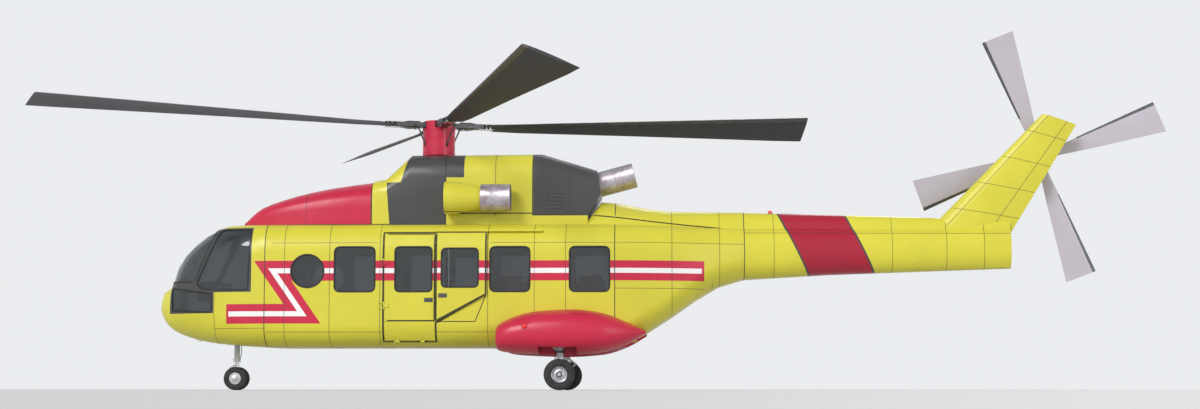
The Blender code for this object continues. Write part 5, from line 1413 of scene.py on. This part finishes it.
def cockpit_details():
    screens = Bundle()
    bezels = Bundle()
    slope = Vector((0.06, 0.0, 0.44)).normalized()
    for count in range(5):
        centre = Vector((station_x(1.318), -0.54 + 0.27 * count, 2.09))
        bezels.slab(centre, slope, (0, 1, 0), (0.26, 0.23, 0.016), 0.004)
        screens.slab(centre + Vector((0.009, 0, 0)), slope, (0, 1, 0), (0.20, 0.18, 0.004), 0.001)
    bezels.piece("panel_bezels", "dark_steel")
    screens.piece("panel_screens", "screen")
    controls = Bundle()
    for sign in SIDES.values():
        foot = Vector((station_x(CONTROL_X), sign * SEAT_Y, FLOOR_TOP))
        for points, radius in CONTROL_TUBES:
            controls.tube([foot + Vector(point) for point in points], radius)
        for across in (-0.11, 0.11):
            low, high, pedal = (foot + Vector((aft, across, up))
                                for aft, up in ((-0.43, 0.001), (-0.42, 0.12), (-0.42, 0.14)))
            controls.slab(pedal, (0.35, 0, 1), (0, 1, 0), (0.16, 0.09, 0.015), 0.003)
            controls.rod(low, high, 0.012, 8)
    controls.piece("flight_controls", "panel")
    knobs = Bundle()
    for row in range(4):
        x = station_x(CONTROL_X + 0.11 * row)
        top = 1.90 - 0.0245 * (row + 0.6)
        for y in (-0.09, 0.0, 0.09):
            knobs.rod((x, y, top - 0.02), (x, y, top + 0.016), 0.016, 12)
    knobs.piece("console_knobs", "lining")


RIB_STATIONS = (2.78, 3.80, 4.86, 7.08, 8.04, 8.70, 9.66)
RIB_ARC = 118.0
RIB_STEPS = 60
TRACK_ENDS = (2.9, 9.5)
TRACK_ROWS = (-0.78, -0.28, 0.28, 0.78)


def cabin_frames():
    ribs = Bundle()
    for station in RIB_STATIONS:
        centre = (station_x(station), 0.0, HULL_MIDDLE)
        path = []
        for step in range(RIB_STEPS + 1):
            angle = math.radians(-RIB_ARC + 2 * RIB_ARC * step / RIB_STEPS)
            found = cast(HULL_TREE, centre, (0.0, math.sin(angle), math.cos(angle)))
            path.append(found if found and found[0].z > FLOOR_TOP + 0.02 else None)
        bead(ribs, path, 0.045, 0.012, False, FLAT)
    ribs.piece("cabin_ribs", "lining", angle=30.0)
    tracks = Bundle()
    front, rear = (station_x(station) for station in TRACK_ENDS)
    for y in TRACK_ROWS:
        tracks.box((front, y - 0.018, PLATE_TOP + 0.0005), (rear, y + 0.018, PLATE_TOP + 0.005))
    tracks.piece("floor_tracks", "alloy")


# Lamps on the part: (station, side, height), direction, radius, rise, paint
LAMPS = {
    "landing_lens": ((0.80, 0.0, 1.08), (-0.3, 0.0, -1.0), 0.085, 0.04, "lamp_clear"),
    "tail_lens": ((BOOM_END, 0.0, 2.95), (1.0, 0.0, 0.0), 0.035, 0.025, "lamp_clear"),
    "beacon_lens": ((13.0, 0.0, 3.75), (0.0, 0.0, 1.0), 0.05, 0.06, "lamp_red"),
    "position_lens_port": ((7.90, -2.222, 1.30), (0.0, -1.0, 0.0), 0.045, 0.03, "lamp_red"),
    "position_lens_starboard": ((7.90, 2.222, 1.30), (0.0, 1.0, 0.0), 0.045, 0.03, "lamp_green"),
}
LENS_COVER = 0.003
LENS_ROOT = -0.02


def lamps():
    # A lens and a bezel over each lamp of the part.
    for name, ((station, side, height), axis, radius, rise, paint) in LAMPS.items():
        place = (station_x(station), side, height)
        reach = radius + LENS_COVER
        top = 1.1 * rise + LENS_COVER
        arc = [(top * s, reach * c) for c, s in circle(32)[:8]]
        lens = Bundle()
        lens.lathe(place, axis, [(LENS_ROOT, 0.0), (LENS_ROOT, reach)] + arc + [(top, 0.0)], 28)
        lens.piece(name, paint)
        bezel = Bundle()
        bezel.lathe(place, axis, [(LENS_ROOT, reach - 0.001), (LENS_ROOT, reach + 0.008),
                                  (0.004, reach + 0.008), (0.009, reach + 0.002), (0.006, reach - 0.001)], 28)
        bezel.piece(name.replace("lens", "bezel"), "dark_steel")


def wipers():
    arms = Bundle()
    for sign in SIDES.values():
        foot, normal = cast(HULL_TREE, (station_x(0.30) - 2.0, sign * 0.24, 2.24), (1, 0, 0))
        path = [foot + normal * 0.012]
        for share in (step / 8 for step in range(9)):
            origin = (station_x(0.34 + 0.42 * share) - 2.0, sign * (0.24 + 0.10 * share), 4.26 + 0.62 * share)
            found = cast(GLASS_TREE, origin, (1, 0, -1))
            if found:
                path.append(found[0] + found[1] * 0.020)
        arms.tube(path, 0.008)
        arms.rod(foot - normal * 0.01, foot + normal * 0.03, 0.022, 16)
    arms.piece("wipers", "rubber")


# Stage: floor, sky light, lamps and camera
SKY_LOW = (0.83, 0.845, 0.865)
SKY_HIGH = (0.30, 0.32, 0.35)
FLOOR_REACH = 600.0
# Lights: (place, strength)
LIGHTS = {"key_light": ((-20.0, -36.0, 28.0), 1.9), "side_light": ((26.0, -20.0, 8.0), 0.55),
          "back_light": ((10.0, 34.0, 24.0), 0.8)}
LIGHT_AIM = (0.0, 0.0, 2.5)
LIGHT_SPREAD = 22.0


def aimed(place, target):
    return (Vector(target) - Vector(place)).to_track_quat("-Z", "Y").to_euler()


def make_floor():
    mesh = bpy.data.meshes.new("studio_floor")
    corners = rectangle(-FLOOR_REACH, FLOOR_REACH, -FLOOR_REACH, FLOOR_REACH)
    mesh.from_pydata([(x, y, 0.0) for x, y in corners], [], [(0, 1, 2, 3)])
    mesh.materials.append(surface("studio_pale", (0.60, 0.60, 0.59), (0.2, 0.98, 1.01), 0.7))
    linked("studio_floor", mesh)


def make_sky():
    world = bpy.data.worlds.new("studio_sky")
    bpy.context.scene.world = world
    world.use_nodes = True
    tree = world.node_tree
    sky = tree.nodes["Background"]
    source, split, ramp, mix = (tree.nodes.new("ShaderNode" + kind)
                                for kind in ("TexCoord", "SeparateXYZ", "MapRange", "Mix"))
    mix.data_type = "RGBA"
    for start, end in ((source.outputs["Generated"], split.inputs[0]), (split.outputs[2], ramp.inputs[0]),
                       (ramp.outputs[0], mix.inputs[0]), (mix.outputs[2], sky.inputs[0])):
        tree.links.new(start, end)
    ramp.inputs[1].default_value = 0.25
    mix.inputs[6].default_value = (*SKY_LOW, 1.0)
    mix.inputs[7].default_value = (*SKY_HIGH, 1.0)


def make_lights():
    for name, (place, strength) in LIGHTS.items():
        light = bpy.data.lights.new(name, "SUN")
        light.angle = math.radians(LIGHT_SPREAD)
        light.energy = strength
        lamp = linked(name, light)
        lamp.location = place
        lamp.rotation_euler = aimed(place, LIGHT_AIM)
    settings = bpy.context.scene.view_settings
    settings.view_transform = "Standard"
    settings.exposure = 0.0


CAMERA_STATION = 10.65
CAMERA_DISTANCE = 45.0
CAMERA_HEIGHT = 0.02
CAMERA_LENS = 63.4
CAMERA_AIM = (9.372, 0.0, 3.955)


def make_camera():
    data = bpy.data.cameras.new("main_camera")
    data.lens = CAMERA_LENS
    data.sensor_width = 36.0
    data.clip_end = 2000.0
    camera = linked("main_camera", data)
    camera.location = (station_x(CAMERA_STATION), -CAMERA_DISTANCE, CAMERA_HEIGHT)
    camera.rotation_euler = aimed(camera.location, (station_x(CAMERA_AIM[0]), *CAMERA_AIM[1:]))
    bpy.context.scene.camera = camera


for step in (window_seals, windscreen_seals, door_seals, door_rims, hull_seams, fin_seams, spine_seams,
             cowl_details, door_hardware, main_rotor, mast_details, tail_rotor, main_wheels, nose_wheels,
             gear_details, exhausts, pilot_cushions, bench_cushions, cockpit_details, cabin_frames, lamps,
             wipers, make_floor, make_sky, make_lights, make_camera):
    step()
